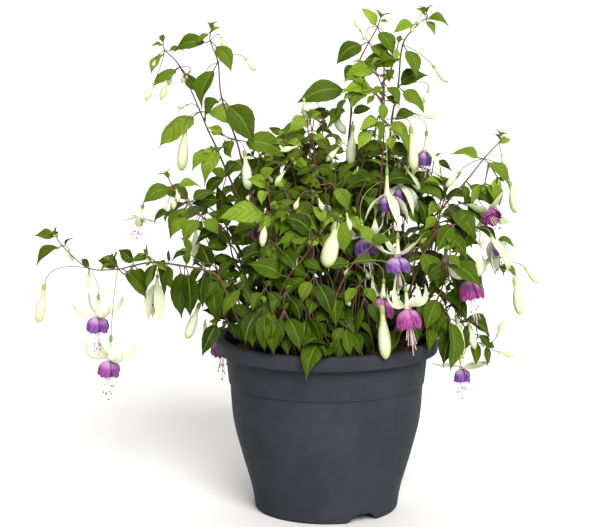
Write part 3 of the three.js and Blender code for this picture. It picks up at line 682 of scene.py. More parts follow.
def rear_shoot(azimuth, bears_bloom, draw):
    out, across = outward_and_across(azimuth)
    reach = REAR_REACH + 35 * (draw() - 0.5)
    rise = REAR_RISE + 60 * (draw() - 0.5)
    nodes = [foot(math.floor(out.x * REAR_FOOT + 0.5), math.floor(out.y * REAR_FOOT + 0.5))]
    for step in range(1, REAR_NODES + 1):
        share = step / REAR_NODES
        place = out * (REAR_FOOT + (reach - REAR_FOOT) * share**1.2)
        place += across * (16 * (draw() - 0.5) * share)
        place.z = SOIL_TOP + rise * math.sin(share * 2)
        length = REAR_LEAF * (1 - 0.45 * share**3) * (0.85 + 0.3 * draw())
        parts = [rear_leaf(place, out, across, sign, step, length, draw) for sign in (1, -1)]
        if step == 1:
            parts = []
        if step == REAR_NODES - 2:
            top = place + Vector((out.x * 16, out.y * 16, -22))
            kind, drop = ("open", 26) if bears_bloom else ("bud", 46)
            parts.append(Part(kind, top - UP * drop, top))
        nodes.append(Node(place, parts))
    return nodes


def add_rear_shoots(shoots, draw):
    for index in range(REAR_SHOOTS):
        share = index / (REAR_SHOOTS - 1)
        degrees = REAR_FIRST_AZIMUTH + (REAR_LAST_AZIMUTH - REAR_FIRST_AZIMUTH) * share
        shoots[f"rear_{index + 1}"] = rear_shoot(math.radians(degrees), index % 2 == 1, draw)


def add_low_pairs(shoots, draw):
    """Each shoot also bears a low pair of leaves between the soil and its first node."""
    for nodes in shoots.values():
        collar = nodes[0].place.copy()
        collar.z = SOIL_TOP
        place = collar.lerp(nodes[1].place, 0.5 + 0.15 * draw())
        turn = math.pi * draw()
        pair = []
        for sign in (1, -1):
            along = Vector((sign * math.cos(turn), sign * math.sin(turn), 0.1 + 0.5 * draw()))
            pair.append(leaf_towards(place, along, LOW_LEAF * (0.85 + 0.3 * draw())))
        nodes.insert(1, Node(place, pair))


# Short shoots that fill the bush by a rule
FILL_SHOOTS = 110
DEEP_SHOOTS = 44
FILL_NODES = 8
FILL_LEAF = 54
FILL_SEED = 21
# Start, reach and rise of a filling shoot that stands upright, and what a full lean adds to them
FILL_UPRIGHT = (20, 34, 250)
FILL_LEANING = (68, 132, -73)
FILL_FACING = 130
FRONT_DRAW_BACK = 26
LEAF_CLEARANCE = 13
FULL_LENGTH = 38
# Half width of the view kept clear for a bloom or a full bud, and what it keeps below, above and behind
BLOOM_SPACE = (24, 42, 40, 8)
BUD_SPACE = (12, 6, 0, 6)
# Radii between which a leaf is over the rim, and the lowest tips inside, over and outside it
RIM_RADII = (RIM_RADIUS - 14, RIM_RADIUS + 5)
LOWEST_TIPS = (SOIL_TOP + 8, POT_HEIGHT + 4, POT_HEIGHT - 38)


def fill_leaf(place, stem, side, length, rng):
    along = side * rng.uniform(0.7, 1.1) + stem * rng.uniform(0.0, 0.3)
    along += Vector((place.x, place.y, 0)) * (rng.uniform(0.1, 0.7) / 100)
    along.z -= rng.uniform(0.3, 1.7)
    return leaf_towards(place, along, length)


def fill_shoot(turn, lean, rng):
    """A shoot that stands up in the middle of the pot, with a lean of 0, or leans out at its rim."""
    out, across = outward_and_across(turn)
    start, reach, rise = [low + more * lean for low, more in zip(FILL_UPRIGHT, FILL_LEANING)]
    reach = reach + rng.uniform(-10, 10) - FRONT_DRAW_BACK * max(0, -out.y)
    rise = rise + rng.uniform(-45, 15)
    nodes = [foot(out.x * start, out.y * start)]
    for step in range(1, FILL_NODES + 1):
        share = step / FILL_NODES
        place = out * (start + (reach - start) * share**1.3)
        place += across * rng.uniform(-8, 8)
        place.z = SOIL_TOP + 8 + rise * math.sin(share * (1.4 + 0.5 * lean))
        stem = (place - nodes[-1].place).normalized()
        side = square_to(stem, across if step % 2 else out)
        length = FILL_LEAF * (1 - 0.3 * share) * rng.uniform(0.75, 1.15)
        nodes.append(Node(place, [fill_leaf(place, stem, side * sign, length, rng) for sign in (1, -1)]))
    return nodes


def fill_plan():
    """Turn and lean of each filling shoot: first all around, then once more behind the middle."""
    golden = math.pi * (3 - math.sqrt(5))
    around = [(index * golden, math.sqrt((index + 0.5) / FILL_SHOOTS)) for index in range(FILL_SHOOTS)]
    behind = [((0.05 + 0.9 * (index * golden % 1)) * math.pi, math.sqrt((index + 0.5) / DEEP_SHOOTS))
              for index in range(DEEP_SHOOTS)]
    return around + behind


def clear_of_pot(point):
    """Keeps a leaf's tip over the soil and over the rim."""
    radius = math.hypot(point.x, point.y)
    lowest = LOWEST_TIPS[sum(radius >= limit for limit in RIM_RADII)]
    return Vector((point.x, point.y, max(point.z, lowest)))


def clear_box(part):
    """What a bloom or a full bud takes up from the front: middle, half width, bottom, top and depth."""
    is_bloom = part.kind in FORMS
    half, below, above, behind = BLOOM_SPACE if is_bloom else BUD_SPACE
    middle = part.tip if is_bloom else part.top.lerp(part.tip, 0.5)
    highest = part.tip if is_bloom else part.top
    return middle.x, half, part.tip.z - below, highest.z + above, middle.y + behind


def is_inside(point, boxes):
    return any(abs(point.x - x) < reach and bottom < point.z < top and point.y < depth
               for x, reach, bottom, top, depth in boxes)


def hides_a_leaf(middle, leaves):
    """Whether a leaf of the front half would lie close before one that the plan names."""
    return middle.y <= 0 and any(
        math.hypot(middle.x - leaf.x, middle.z - leaf.z) < LEAF_CLEARANCE and middle.y < leaf.y
        for leaf in leaves
    )


# Directions and paths
SPARE_DIRECTION = Vector((0.31, -0.62, 0.73))


def square_to(axis, wanted):
    """The direction nearest to the wanted one that is square to the axis."""
    square = wanted - axis * wanted.dot(axis)
    if square.length < 0.15:
        square = SPARE_DIRECTION - axis * SPARE_DIRECTION.dot(axis)
    return square.normalized()


def smooth_path(points, steps):
    """A smooth curve through all points, in `steps` pieces for each stretch."""
    points = [np.array(point, float) for point in points]
    padded = [2 * points[0] - points[1], *points, 2 * points[-1] - points[-2]]
    path = []
    for before, start, end, after in zip(padded, padded[1:], padded[2:], padded[3:]):
        for share in np.arange(steps) / steps:
            path.append(0.5 * (
                2 * start + (end - before) * share
                + (2 * before - 5 * start + 4 * end - after) * share**2
                + (3 * start - before - 3 * end + after) * share**3
            ))
    return np.array([*path, points[-1]])


def bezier(start, bow, end, steps):
    start, bow, end = (np.array(point, float) for point in (start, bow, end))
    share = np.linspace(0, 1, steps + 1)[:, None]
    return start * (1 - share) ** 2 + 2 * bow * share * (1 - share) + end * share**2


def pedicel_path(root, top, axis, steps):
    return bezier(root, top - axis * (0.5 * (top - root).length), top, steps)


# Bodies
class Bundle:
    """Closed bodies gathered into one mesh. `form` says where on its leaf, stem or petal a point lies,
    across and along, and `tone` holds its piece's own draw, its age and its shade."""

    def __init__(self):
        self.points = []
        self.faces = []
        self.skins = []
        self.forms = []
        self.tones = []
        self.count = 0

    def add(self, points, faces, form, tone):
        """`faces` pairs each array of faces with the number of its material."""
        points = np.asarray(points, float).reshape(-1, 3)
        self.points.append(points)
        self.forms.append(np.asarray(form, float).reshape(-1, 2))
        self.tones.append(np.tile(tone, (len(points), 1)))
        for block, skin in faces:
            self.faces.append(np.asarray(block) + self.count)
            self.skins.append(np.full(len(block), skin))
        self.count += len(points)

    def to_object(self, name, materials, crease=50):
        mesh = bpy.data.meshes.new(name)
        points = np.concatenate(self.points) * MM
        corners = np.concatenate([block.ravel() for block in self.faces])
        sizes = np.concatenate([np.full(len(block), block.shape[1]) for block in self.faces])
        starts = np.concatenate([[0], np.cumsum(sizes)[:-1]])
        mesh.vertices.add(len(points))
        mesh.vertices.foreach_set("co", points.ravel())
        mesh.loops.add(len(corners))
        mesh.loops.foreach_set("vertex_index", corners.astype(np.int32))
        mesh.polygons.add(len(sizes))
        mesh.polygons.foreach_set("loop_start", starts.astype(np.int32))
        mesh.polygons.foreach_set("material_index", np.concatenate(self.skins).astype(np.int32))
        forms = np.pad(np.concatenate(self.forms), ((0, 0), (0, 1)))
        for label, values in (("form", forms), ("tone", np.concatenate(self.tones))):
            mesh.attributes.new(label, "FLOAT_VECTOR", "POINT").data.foreach_set("vector", values.ravel())
        mesh.update(calc_edges=True)
        for material in materials:
            mesh.materials.append(material)
        mesh.shade_smooth()
        mesh.set_sharp_from_angle(angle=math.radians(crease))
        piece = bpy.data.objects.new(name, mesh)
        bpy.context.scene.collection.objects.link(piece)
        return piece


def settle(piece, node):
    """Gives a piece the part's one body and hides its node's solid, if the node has one."""
    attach(piece, "root")
    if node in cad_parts:
        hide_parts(node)


def quads(left, right):
    """Faces between rows of corners and their neighbours to the right."""
    corners = (left[:-1], right[:-1], right[1:], left[1:])
    return np.stack([corner.ravel() for corner in corners], axis=1)


@lru_cache(None)
def sheet_faces(rows, columns):
    """Faces of a thin closed sheet, whose two sides share their outline."""
    grid = np.arange(rows * columns).reshape(rows, columns)
    under = grid.copy()
    under[1:-1, 1:-1] = rows * columns + np.arange((rows - 2) * (columns - 2)).reshape(rows - 2, -1)
    return quads(grid[:, :-1], grid[:, 1:]), quads(under[:, :-1], under[:, 1:])[:, ::-1]


def add_sheet(bundle, top, under, column, share, tone, skins):
    """A thin closed sheet with the points `top` on one side and `under` on the other."""
    rows, columns = top.shape[:2]
    form = np.concatenate(np.broadcast_arrays(column, share), axis=-1)
    inside = (slice(1, -1), slice(1, -1))
    points = np.concatenate([top.reshape(-1, 3), under[inside].reshape(-1, 3)])
    form = np.concatenate([form.reshape(-1, 2), form[inside].reshape(-1, 2)])
    bundle.add(points, zip(sheet_faces(rows, columns), skins), form, tone)


@lru_cache(None)
def tube_faces(rings, sides):
    grid = np.arange(rings * sides).reshape(rings, sides)
    return quads(grid, np.roll(grid, -1, axis=1)), np.array([grid[0][::-1], grid[-1]])


def add_tube(bundle, path, radii, sides, tone, skin, ribs=0, squash=1.0):
    """A closed tube round a path. Its form runs round it from -1 to 1 and along it from 0 to 1."""
    path = np.asarray(path, float)
    radii = np.broadcast_to(np.asarray(radii, float), (len(path),))
    travel = np.gradient(path, axis=0)
    travel /= np.linalg.norm(travel, axis=1)[:, None]
    angles = 2 * np.pi * np.arange(sides) / sides
    shape = 1 + ribs * np.cos(SEPAL_COUNT * angles)
    first = Vector((1, 0, 0))
    rings = []
    for point, axis, radius in zip(path, travel, radii):
        first = square_to(Vector(axis), first)
        second = np.cross(axis, first)
        ring = np.outer(np.cos(angles) * shape, first) + squash * np.outer(np.sin(angles) * shape, second)
        rings.append(point + radius * ring)
    lengths = np.concatenate([[0], np.cumsum(np.linalg.norm(np.diff(path, axis=0), axis=1))])
    along = np.repeat(lengths / lengths[-1], sides)
    around = np.tile(angles / np.pi - 1, len(path))
    faces = [(block, skin) for block in tube_faces(len(path), sides)]
    bundle.add(np.concatenate(rings), faces, np.column_stack([around, along]), tone)


# Leaves
LEAF_TOP, LEAF_UNDER, STEM_SKIN, BUD_SKIN = range(4)


def leaf_outline(share):
    """Half the blade's width, from its round base to its drawn-out tip."""
    widest = np.sin(np.pi * np.clip(share, 0, 1) ** 0.72)
    return np.clip(widest, 0, 1) ** (0.8 + 0.5 * share)


def blade(root, along, normal, length, rows, slim, rng):
    """The two sides of a blade, which is arched, folded and a little twisted, with its rows' places
    along it and the point at its base."""
    trait = {name: rng.uniform(*limits) for name, limits in LEAF_TRAITS.items()}
    along, normal, across = (np.array(axis, float) for axis in (along, normal, along.cross(normal)))
    row = np.linspace(0, 1, rows)[:, None, None]
    column = LEAF_COLUMNS[None, :, None]
    aside = np.abs(column)
    midrib = (column == 0) * (1 - row)
    share = PETIOLE_SHARE + (1 - PETIOLE_SHARE) * row
    bow = np.sin(np.pi * share)
    widest = LEAF_WIDTH_SHARE * (1 - PETIOLE_SHARE) * length / 2 * slim * trait["width"]
    half = np.maximum(leaf_outline(row) * widest, 0.12 + 0.6 * (1 - row) ** 8)
    teeth = 0.02 * widest * np.where(np.arange(rows)[:, None, None] % 2, 1, -1)
    half = half + (aside == 1) * teeth * (half > 0.3 * widest)
    wave = trait["wave"] * np.sin(2 * np.pi * (1.6 * row + trait["phase"]) + column)
    lift = half * (trait["fold"] * aside - trait["cup"] * column**2) + widest * wave * aside
    arch = LEAF_ARCH * length * bow * trait["arch"]
    sickle = trait["sickle"] * length * bow
    twist = trait["twist"] * (row - 0.3)
    upward = np.array(UP) - along * along[2]
    steepness = np.linalg.norm(upward)
    upward *= length * min(LEAF_BOW, BOW_LIMIT * steepness) / max(steepness, 0.01)
    turned = np.cos(twist) * across + np.sin(twist) * normal
    raised = np.cos(twist) * normal - np.sin(twist) * across
    centre = np.array(root, float) + share * length * along + bow * upward + arch * normal + sickle * across
    top = centre + half * column * turned + (lift - 0.03 * widest * midrib) * raised
    under = top - (LEAF_THICKNESS + 0.5 * midrib) * raised
    return top, under, row, Vector(centre[0, 0])


def add_leaf(bundle, habit, start, root, tip, facing, age, rng):
    """A leaf whose stalk starts at `start` on the stem."""
    along = tip - root
    length = along.length
    along = along / length
    # The height shift paints shade on low leaves and light on high ones.
    age_and_painted_light = age + rng.uniform(-RIPE_SPREAD, RIPE_SPREAD) + np.interp(root.z, PAINTED_LIGHT_HEIGHTS, PAINTED_LIGHT_SHIFTS)
    tone = (rng.random(), np.clip(age_and_painted_light + habit.youth_and_painted_light, *AGE_AND_LIGHT_LIMITS), rng.random())
    rows = habit.rows if length > SMALL_LEAF else SMALL_ROWS
    slim = np.interp(root.z, SLIM_HEIGHTS, SLIM_SHARES) if habit.free else 1
    top, under, row, base = blade(root, along, square_to(along, facing), length, rows, slim, rng)
    add_sheet(bundle, top, under, LEAF_COLUMNS[None, :, None], row, tone, (LEAF_TOP, LEAF_UNDER))
    end = base + along * (0.05 * length)
    bow = base - along * (0.6 * (base - start).length)
    width = PETIOLE_RADIUS * min(1, 0.45 + length / 70)
    add_tube(bundle, bezier(start, bow, end, 4), width, STALK_SIDES, tone, STEM_SKIN)


def outward(root):
    """Where a leaf on the solids' plan faces."""
    return Vector((root.x / 250, -0.75 if root.y < BACK_START else 0.75, 0.65))


def solid_tip(root, tip, corners):
    """The tip as the solid has it, where the leaf may be bent clear of its neighbours."""
    along = tip - root
    hinge = along.cross(UP).normalized()
    for degrees in LEAF_BENDS:
        bent = root + Quaternion(hinge, math.radians(degrees)) @ along
        if corners.find(bent * MM)[2] < 0.5 * MM:
            return bent
    return tip


# Buds
def add_bud(bundle, start, top, tip, age, rng, girth=1.0):
    length = (tip - top).length
    axis = (tip - top).normalized()
    tone = (rng.random(), age, rng.random())
    add_tube(bundle, pedicel_path(start, top, axis, 8), PEDICEL_RADIUS, STALK_SIDES, tone, STEM_SKIN)
    fullness = min(max((length - YOUNG_BUD_LENGTH) / BUD_GROWTH, 0), 1)
    belly = (1.8 + 0.081 * length) * girth
    widths = (YOUNG_BUD + (FULL_BUD - YOUNG_BUD) * fullness) * belly
    path = np.array(top) + np.outer(BUD_SHARES * length, axis)
    add_tube(bundle, path, widths, BUD_SIDES, tone, BUD_SKIN, ribs=0.05)


# Shoots
def stem_at(nodes, index):
    """The direction in which the stem comes to a node."""
    return (nodes[index].place - nodes[index - 1].place).normalized()


def add_stem(bundle, habit, nodes, rng):
    """A stem that is a little thicker at each node."""
    places = [node.place for node in nodes]
    if places[0].z < SOIL_TOP:
        places.insert(1, Vector((places[0].x, places[0].y, SOIL_TOP + 6)))
    path = smooth_path(places, STEM_STEPS)
    share = np.linspace(0, 1, len(path))
    radii = STEM_TIP_RADIUS + (STEM_FOOT_RADIUS * habit.thickness - STEM_TIP_RADIUS) * (1 - share) ** 1.5
    radii = radii * (1 + 0.22 * (np.arange(len(path)) % STEM_STEPS == 0) * (share > 0.1))
    add_tube(bundle, path, radii, STEM_SIDES, (rng.random(), habit.age, rng.random()), STEM_SKIN)


def add_parts(bundle, habit, nodes, corners, rng):
    for index, node in enumerate(nodes):
        age = index / (len(nodes) - 1)
        for part in node.parts:
            if part.kind == "leaf":
                root = node.place - stem_at(nodes, index) * LEAF_DROP
                facing = part.facing or outward(root)
                if habit.free:
                    facing = facing + Vector(rng.uniform(-FACING_SPREAD, FACING_SPREAD, 3))
                tip = part.tip if habit.free else solid_tip(root, part.tip, corners)
                add_leaf(bundle, habit, node.place, root, tip, facing, age, rng)
            elif part.kind == "bud":
                add_bud(bundle, node.place, part.top, part.tip, age, rng, part.girth)


def add_tip(bundle, habit, nodes, rng):
    """The shoot's growing end: two pairs of very young leaves."""
    place = nodes[-1].place
    stem = stem_at(nodes, -1)
    side = square_to(stem, Vector((rng.uniform(-1, 1), rng.uniform(-1, 1), 0.2)))
    for turn, length in ((0, 13), (90, 9)):
        aside = Quaternion(stem, math.radians(turn)) @ side
        for sign in (1, -1):
            along = (stem * rng.uniform(0.7, 1.2) + aside * sign).normalized()
            tip = place + along * (length * rng.uniform(0.8, 1.2))
            add_leaf(bundle, habit, place, place, tip, stem - along * 0.3, TIP_AGE, rng)


def add_small_buds(bundle, nodes, index, rng):
    """Young buds on thin stalks from the axils near the tip."""
    place = nodes[index].place
    stem = stem_at(nodes, index)
    for sign in (1, -1):
        if rng.random() < BUDLESS_SHARE:
            continue
        aside = square_to(stem, Vector((sign, rng.uniform(-1, 0.4), 0)))
        top = place + aside * rng.uniform(8, 16) + stem * rng.uniform(-4, 6) - UP * rng.uniform(2, 12)
        length = rng.uniform(8, 17)
        tip = top + Vector((aside.x * 0.5, aside.y * 0.5, -1)).normalized() * length
        add_bud(bundle, place, top, tip, TIP_AGE, rng)


def make_shoot(name, nodes, materials, rng, habit, solid=None):
    """A shoot, which stands for the solid of the given name, if there is one."""
    corners = solid_points(solid) if solid else None
    bundle = Bundle()
    add_stem(bundle, habit, nodes, rng)
    add_parts(bundle, habit, nodes, corners, rng)
    add_tip(bundle, habit, nodes, rng)
    if habit.budding:
        for index in (len(nodes) - 3, len(nodes) - 2):
            add_small_buds(bundle, nodes, index, rng)
    settle(bundle.to_object(name, materials), solid)


def solid_points(name):
    """The corners of a solid, to find the one nearest to a place."""
    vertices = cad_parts[name].data.vertices
    tree = KDTree(len(vertices))
    for index, vertex in enumerate(vertices):
        tree.insert(vertex.co, index)
    tree.balance()
    return tree


# Blooms
SEPAL_INNER, SEPAL_OUTER, TUBE_SKIN, STALK_SKIN = range(4)
PETAL_INNER, PETAL_OUTER, FILAMENT_SKIN, ANTHER_SKIN = range(4)


def sepal_outline(share):
    rising = 0.5 + 0.5 * np.sin(np.pi / 2 * np.clip(share / SEPAL_WIDEST, 0, 1))
    falling = np.cos(np.pi / 2 * np.clip((share - SEPAL_WIDEST) / (1 - SEPAL_WIDEST), 0, 1)) ** 0.95
    return np.where(share < SEPAL_WIDEST, rising, falling)


def add_sepal(bundle, end, axis, radial, form, tone, rng):
    """A sepal that bends back from the tube's end and turns about its length."""
    end, axis, radial = (np.array(vector, float) for vector in (end, axis, radial))
    side = np.cross(axis, radial)
    share = np.linspace(0, 1, SEPAL_ROWS)
    bends = np.array(form.sepals) + rng.uniform(-7, 7)
    heading = np.radians(np.interp(share, (1 / 6, 1 / 2, 5 / 6), bends))
    travel = np.outer(np.cos(heading), axis) + np.outer(np.sin(heading), radial)
    stretch = form.size * SEPAL_LENGTH / (SEPAL_ROWS - 1)
    middle = (travel[1:] + travel[:-1]) / 2 * stretch
    centre = end + 2.2 * radial - 2.2 * axis + np.concatenate([[np.zeros(3)], np.cumsum(middle, axis=0)])
    back = np.cross(side, travel)
    turn = (rng.uniform(0.25, 0.8) * rng.choice((-1, 1)) * np.clip(share * 2, 0, 1))[:, None]
    side, back = np.cos(turn) * side + np.sin(turn) * back, np.cos(turn) * back - np.sin(turn) * side
    centre, side, back = centre[:, None], side[:, None], back[:, None]
    share, column = share[:, None, None], SEPAL_COLUMNS[None, :, None]
    half = np.maximum(sepal_outline(share) * form.size * form.slim * SEPAL_WIDTH / 2, 0.1)
    sway = rng.uniform(-1.5, 1.5) * share**2
    inner = centre + (half * column + sway) * side + 0.34 * half * column**2 * back
    outer = inner + (SEPAL_THICKNESS * (1 - column**2) * (1 - 0.5 * share) + 0.1) * back
    add_sheet(bundle, outer, inner, column, share, tone, (SEPAL_OUTER, SEPAL_INNER))


def add_flower_tube(bundle, start, top, end, tone):
    """The stalk, the seed pod and the tube."""
    length = (end - top).length
    axis = (end - top).normalized()
    add_tube(bundle, pedicel_path(start, top, axis, 12), PEDICEL_RADIUS, 6, tone, STALK_SKIN)
    for (shares, widths), sides, skin, ribs in ((POD, 10, STALK_SKIN, 0), (TUBE, 16, TUBE_SKIN, 0.04)):
        path = np.array(top) + np.outer(np.array(shares) * length, axis)
        add_tube(bundle, path, widths, sides, tone, skin, ribs)


def make_calyx(name, start, part, materials, rng):
    bundle = Bundle()
    axis = (part.tip - part.top).normalized()
    form = FORMS[part.kind]
    tone = (rng.random(), form.green, rng.random())
    add_flower_tube(bundle, start, part.top, part.tip, tone)
    across = square_to(axis, Vector((1, -0.27, 0)))
    for index in range(SEPAL_COUNT):
        angle = 2 * math.pi * (index + 0.5) / SEPAL_COUNT
        add_sepal(bundle, part.tip, axis, Quaternion(axis, angle) @ across, form, tone, rng)
    settle(bundle.to_object(f"{name}_sepals", materials), f"{name}_calyx")


def add_petal(bundle, end, axis, first, second, turn, form, scale, tone, rng):
    """One petal of the skirt, which laps over its neighbour at one edge and under it at the other."""
    end, axis, first, second = (np.array(vector, float) for vector in (end, axis, first, second))
    share = np.linspace(0, 1, PETAL_ROWS)[:, None, None]
    column = np.linspace(-1, 1, PETAL_COLUMNS)[None, :, None]
    bell = np.interp(share, (0, 0.15, 0.35, 0.6, 0.85, 1), (0.0, 0.54, 0.85, 0.99, 1.04, 0.96))
    radius = 0.75 * THROAT_RADIUS * (1 - share) ** 2 + form.flare * bell * scale
    ruffle = np.cos(rng.uniform(2.4, 3.4) * np.pi * column + rng.uniform(0, 6)) * share**2
    radius = radius * (1 + 0.1 * ruffle + 0.1 * column * share**0.5) * rng.uniform(0.94, 1.04)
    hem = 1 - 0.14 * np.abs(column) ** 3 + 0.04 * ruffle
    depth = GAP + form.skirt * (0.8 + 0.2 * scale) * share * hem
    angle = turn + column * np.radians(PETAL_HALF_TURN) * (0.72 + 0.28 * (1 - share))
    aside = np.cos(angle) * first + np.sin(angle) * second
    centre = end + depth * axis
    top, under = centre + radius * aside, centre + (radius - PETAL_THICKNESS) * aside
    add_sheet(bundle, top, under, column, share, tone, (PETAL_OUTER, PETAL_INNER))


def add_stamens(bundle, end, axis, first, reach, tone, rng):
    """The stamens and, last and longest, the style."""
    places, widths = STAMEN_HEAD
    for index in range(STAMEN_COUNT + 1):
        style = index == STAMEN_COUNT
        aside = Quaternion(axis, 2 * math.pi * (index + rng.uniform(-0.3, 0.3)) / STAMEN_COUNT) @ first
        depth = reach * (1.12 if style else rng.uniform(0.66, 1))
        spread = 0.8 if style else rng.uniform(3, 6.5)
        width, size = (0.36, 1.15) if style else (0.3, 0.95)
        start = end + axis * 0.5 + aside * 0.6
        bow = end + axis * (0.55 * depth) + aside * (0.45 * spread)
        tip = end + axis * depth + aside * spread
        add_tube(bundle, bezier(start, bow, tip, 6), width, STALK_SIDES, tone, FILAMENT_SKIN)
        head = np.array(tip) + np.outer(places, (tip - bow).normalized())
        add_tube(bundle, head, np.array(widths) * size, 7, tone, ANTHER_SKIN)


def make_corolla(name, part, materials, rng):
    bundle = Bundle()
    form = FORMS[part.kind]
    axis = (part.tip - part.top).normalized()
    first = square_to(axis, Vector((0.9, -0.4, 0.1)))
    second = axis.cross(first)
    for layer, scale in enumerate(PETAL_LAYERS):
        for index in range(SEPAL_COUNT):
            turn = 2 * math.pi * (index + 0.5 * layer) / SEPAL_COUNT
            tone = (rng.random(), part.blush, rng.random())
            add_petal(bundle, part.tip, axis, first, second, turn, form, scale, tone, rng)
    add_stamens(bundle, part.tip, axis, first, form.stamens, (rng.random(), 0.5, rng.random()), rng)
    settle(bundle.to_object(f"{name}_petals", materials), f"{name}_corolla")


# Pot
def fillet(x, y, radius, start, end, steps=4):
    angles = np.radians(np.linspace(start, end, steps + 1))
    return [(x + radius * math.cos(angle), y + radius * math.sin(angle)) for angle in angles]


def wall_profile():
    points = [(BASE_RADIUS, 0), (91.5, 27), (104.5, 73), (113.8, 112), (BAND_RADIUS, BAND_HEIGHT - 1)]
    return [tuple(point[:2]) for point in smooth_path([(x, y, 0) for x, y in points], 8)]


def inner_wall():
    return [(x - WALL, y) for x, y in wall_profile() if y > 20]


def pot_profile():
    skirt = RIM_RADIUS - WALL
    step_out = BAND_RADIUS + BAND_STEP
    return [
        (0, 0),
        (CHANNEL_INNER, 0),
        (CHANNEL_INNER + 2, CHANNEL_HEIGHT),
        (CHANNEL_OUTER, CHANNEL_HEIGHT),
        (CHANNEL_OUTER + 2, 0),
        (BASE_RADIUS - 1.5, 0),
        *wall_profile()[1:-1],
        (BAND_RADIUS - 0.4, BAND_HEIGHT - 1.2),
        (BAND_RADIUS - 0.2, BAND_HEIGHT - 0.4),
        *fillet(step_out - 0.8, BAND_HEIGHT + 0.8, 0.8, -90, 0),
        (step_out + 2, BAND_HEIGHT + 20),
        (NECK_RADIUS, POT_HEIGHT - 10),
        *fillet(skirt - 3, POT_HEIGHT - 9, 3, 90, 0),
        (skirt, POT_HEIGHT - RIM_DEPTH),
        *fillet(RIM_RADIUS - 0.8, POT_HEIGHT - RIM_DEPTH + 0.8, 0.8, -90, 0),
        *fillet(RIM_RADIUS - 4, POT_HEIGHT - 4, 4, 0, 90, 6),
        *fillet(RIM_RADIUS - 8, POT_HEIGHT - 3, 3, 90, 150),
        (NECK_RADIUS - WALL + 1, POT_HEIGHT - 9),
        (NECK_RADIUS - WALL, POT_HEIGHT - 14),
        *inner_wall()[::-1],
        (CHANNEL_OUTER + 2, CHANNEL_HEIGHT + WALL),
        (CHANNEL_INNER - 1, CHANNEL_HEIGHT + WALL),
        (CHANNEL_INNER - 3, WALL),
        (0, WALL),
    ]


def lathe(profile, sides):
    """A closed body turned round Z, from a profile that starts and ends on the axis."""
    angles = 2 * np.pi * np.arange(sides) / sides
    rings = [np.stack([radius * np.cos(angles), radius * np.sin(angles), np.full(sides, height)], axis=1)
             for radius, height in profile[1:-1]]
    points = np.concatenate([*rings, [(0, 0, profile[0][1]), (0, 0, profile[-1][1])]])
    last = len(points) - 1
    first_ring = np.arange(sides)
    last_ring = first_ring + sides * (len(rings) - 1)
    fans = [np.stack([ring, np.roll(ring, -1), np.full(sides, pole)], axis=1)
            for ring, pole in ((first_ring, last - 1), (last_ring, last))]
    bundle = Bundle()
    faces = ((tube_faces(len(rings), sides)[0], 0), (fans[0][:, ::-1], 0), (fans[1], 0))
    bundle.add(points, faces, np.zeros((len(points), 2)), (0, 0, 0))
    return bundle


def cut(piece, cutter):
    modifier = piece.modifiers.new("cut", "BOOLEAN")
    modifier.operation = "DIFFERENCE"
    modifier.solver = "EXACT"
    modifier.object = cutter
    graph = bpy.context.evaluated_depsgraph_get()
    mesh = bpy.data.meshes.new_from_object(piece.evaluated_get(graph))
    piece.modifiers.clear()
    piece.data = mesh
    bpy.data.objects.remove(cutter)


def notch_cutter(azimuth):
    """A wedge through the foot ring, narrower at its flat top."""
    low, high = NOTCH_WIDTH / 2 + 2, NOTCH_WIDTH / 4
    outline = [(-low, -1), (low, -1), (high + 1.5, NOTCH_HEIGHT - 1.6), (high - 1, NOTCH_HEIGHT - 0.5),
               (1 - high, NOTCH_HEIGHT - 0.5), (-high - 1.5, NOTCH_HEIGHT - 1.6)]
    points = [(x, across, z) for x in (CHANNEL_OUTER - 3, BASE_RADIUS + 6) for across, z in outline]
    bundle = Bundle()
    faces = [(block, 0) for block in tube_faces(2, len(outline))]
    bundle.add(points, faces, np.zeros((len(points), 2)), (0, 0, 0))
    cutter = bundle.to_object("notch", [])
    cutter.rotation_euler.z = math.radians(azimuth)
    return cutter


def make_pot(material):
    piece = lathe(pot_profile(), POT_SIDES).to_object("pot_body", [material], 35)
    for azimuth in NOTCH_AZIMUTHS:
        cut(piece, notch_cutter(azimuth))
    settle(piece, "pot")


# Soil
def soil_height(radius, angle):
    bumps = 1.2 * np.sin(5 * angle + radius / 9) * np.sin(radius / 13)
    bumps = bumps + 0.9 * np.sin(11 * angle - radius / 6)
    return SOIL_TOP + 3 - 5 * (radius / 121) ** 4 + bumps * np.clip(radius / 30, 0, 1)


def add_crumb(bundle, rng):
    """A chip of bark or a clump of peat, half sunk in the surface."""
    radius = CRUMB_RADIUS * math.sqrt(rng.random())
    angle = rng.uniform(0, 2 * math.pi)
    size = rng.uniform(0.9, 3.2)
    long = rng.uniform(1, 2.4)
    turn = rng.uniform(0, 2 * math.pi)
    height = soil_height(radius, angle) + rng.uniform(0, 0.6) * size
    centre = np.array([radius * math.cos(angle), radius * math.sin(angle), height])
    travel = np.array([math.cos(turn), math.sin(turn), rng.uniform(-0.3, 0.3)])
    path = centre + np.outer(np.array([-1, -0.55, 0.4, 1]) * size * long, travel)
    path = path + rng.uniform(-0.2, 0.2, path.shape) * size
    widths = np.array([0.35, 0.9, 1, 0.3]) * size * rng.uniform(0.7, 1.1)
    tone = (rng.random(), 0, rng.random())
    add_tube(bundle, path, widths, 6, tone, 0, ribs=0.1, squash=rng.uniform(0.4, 1))


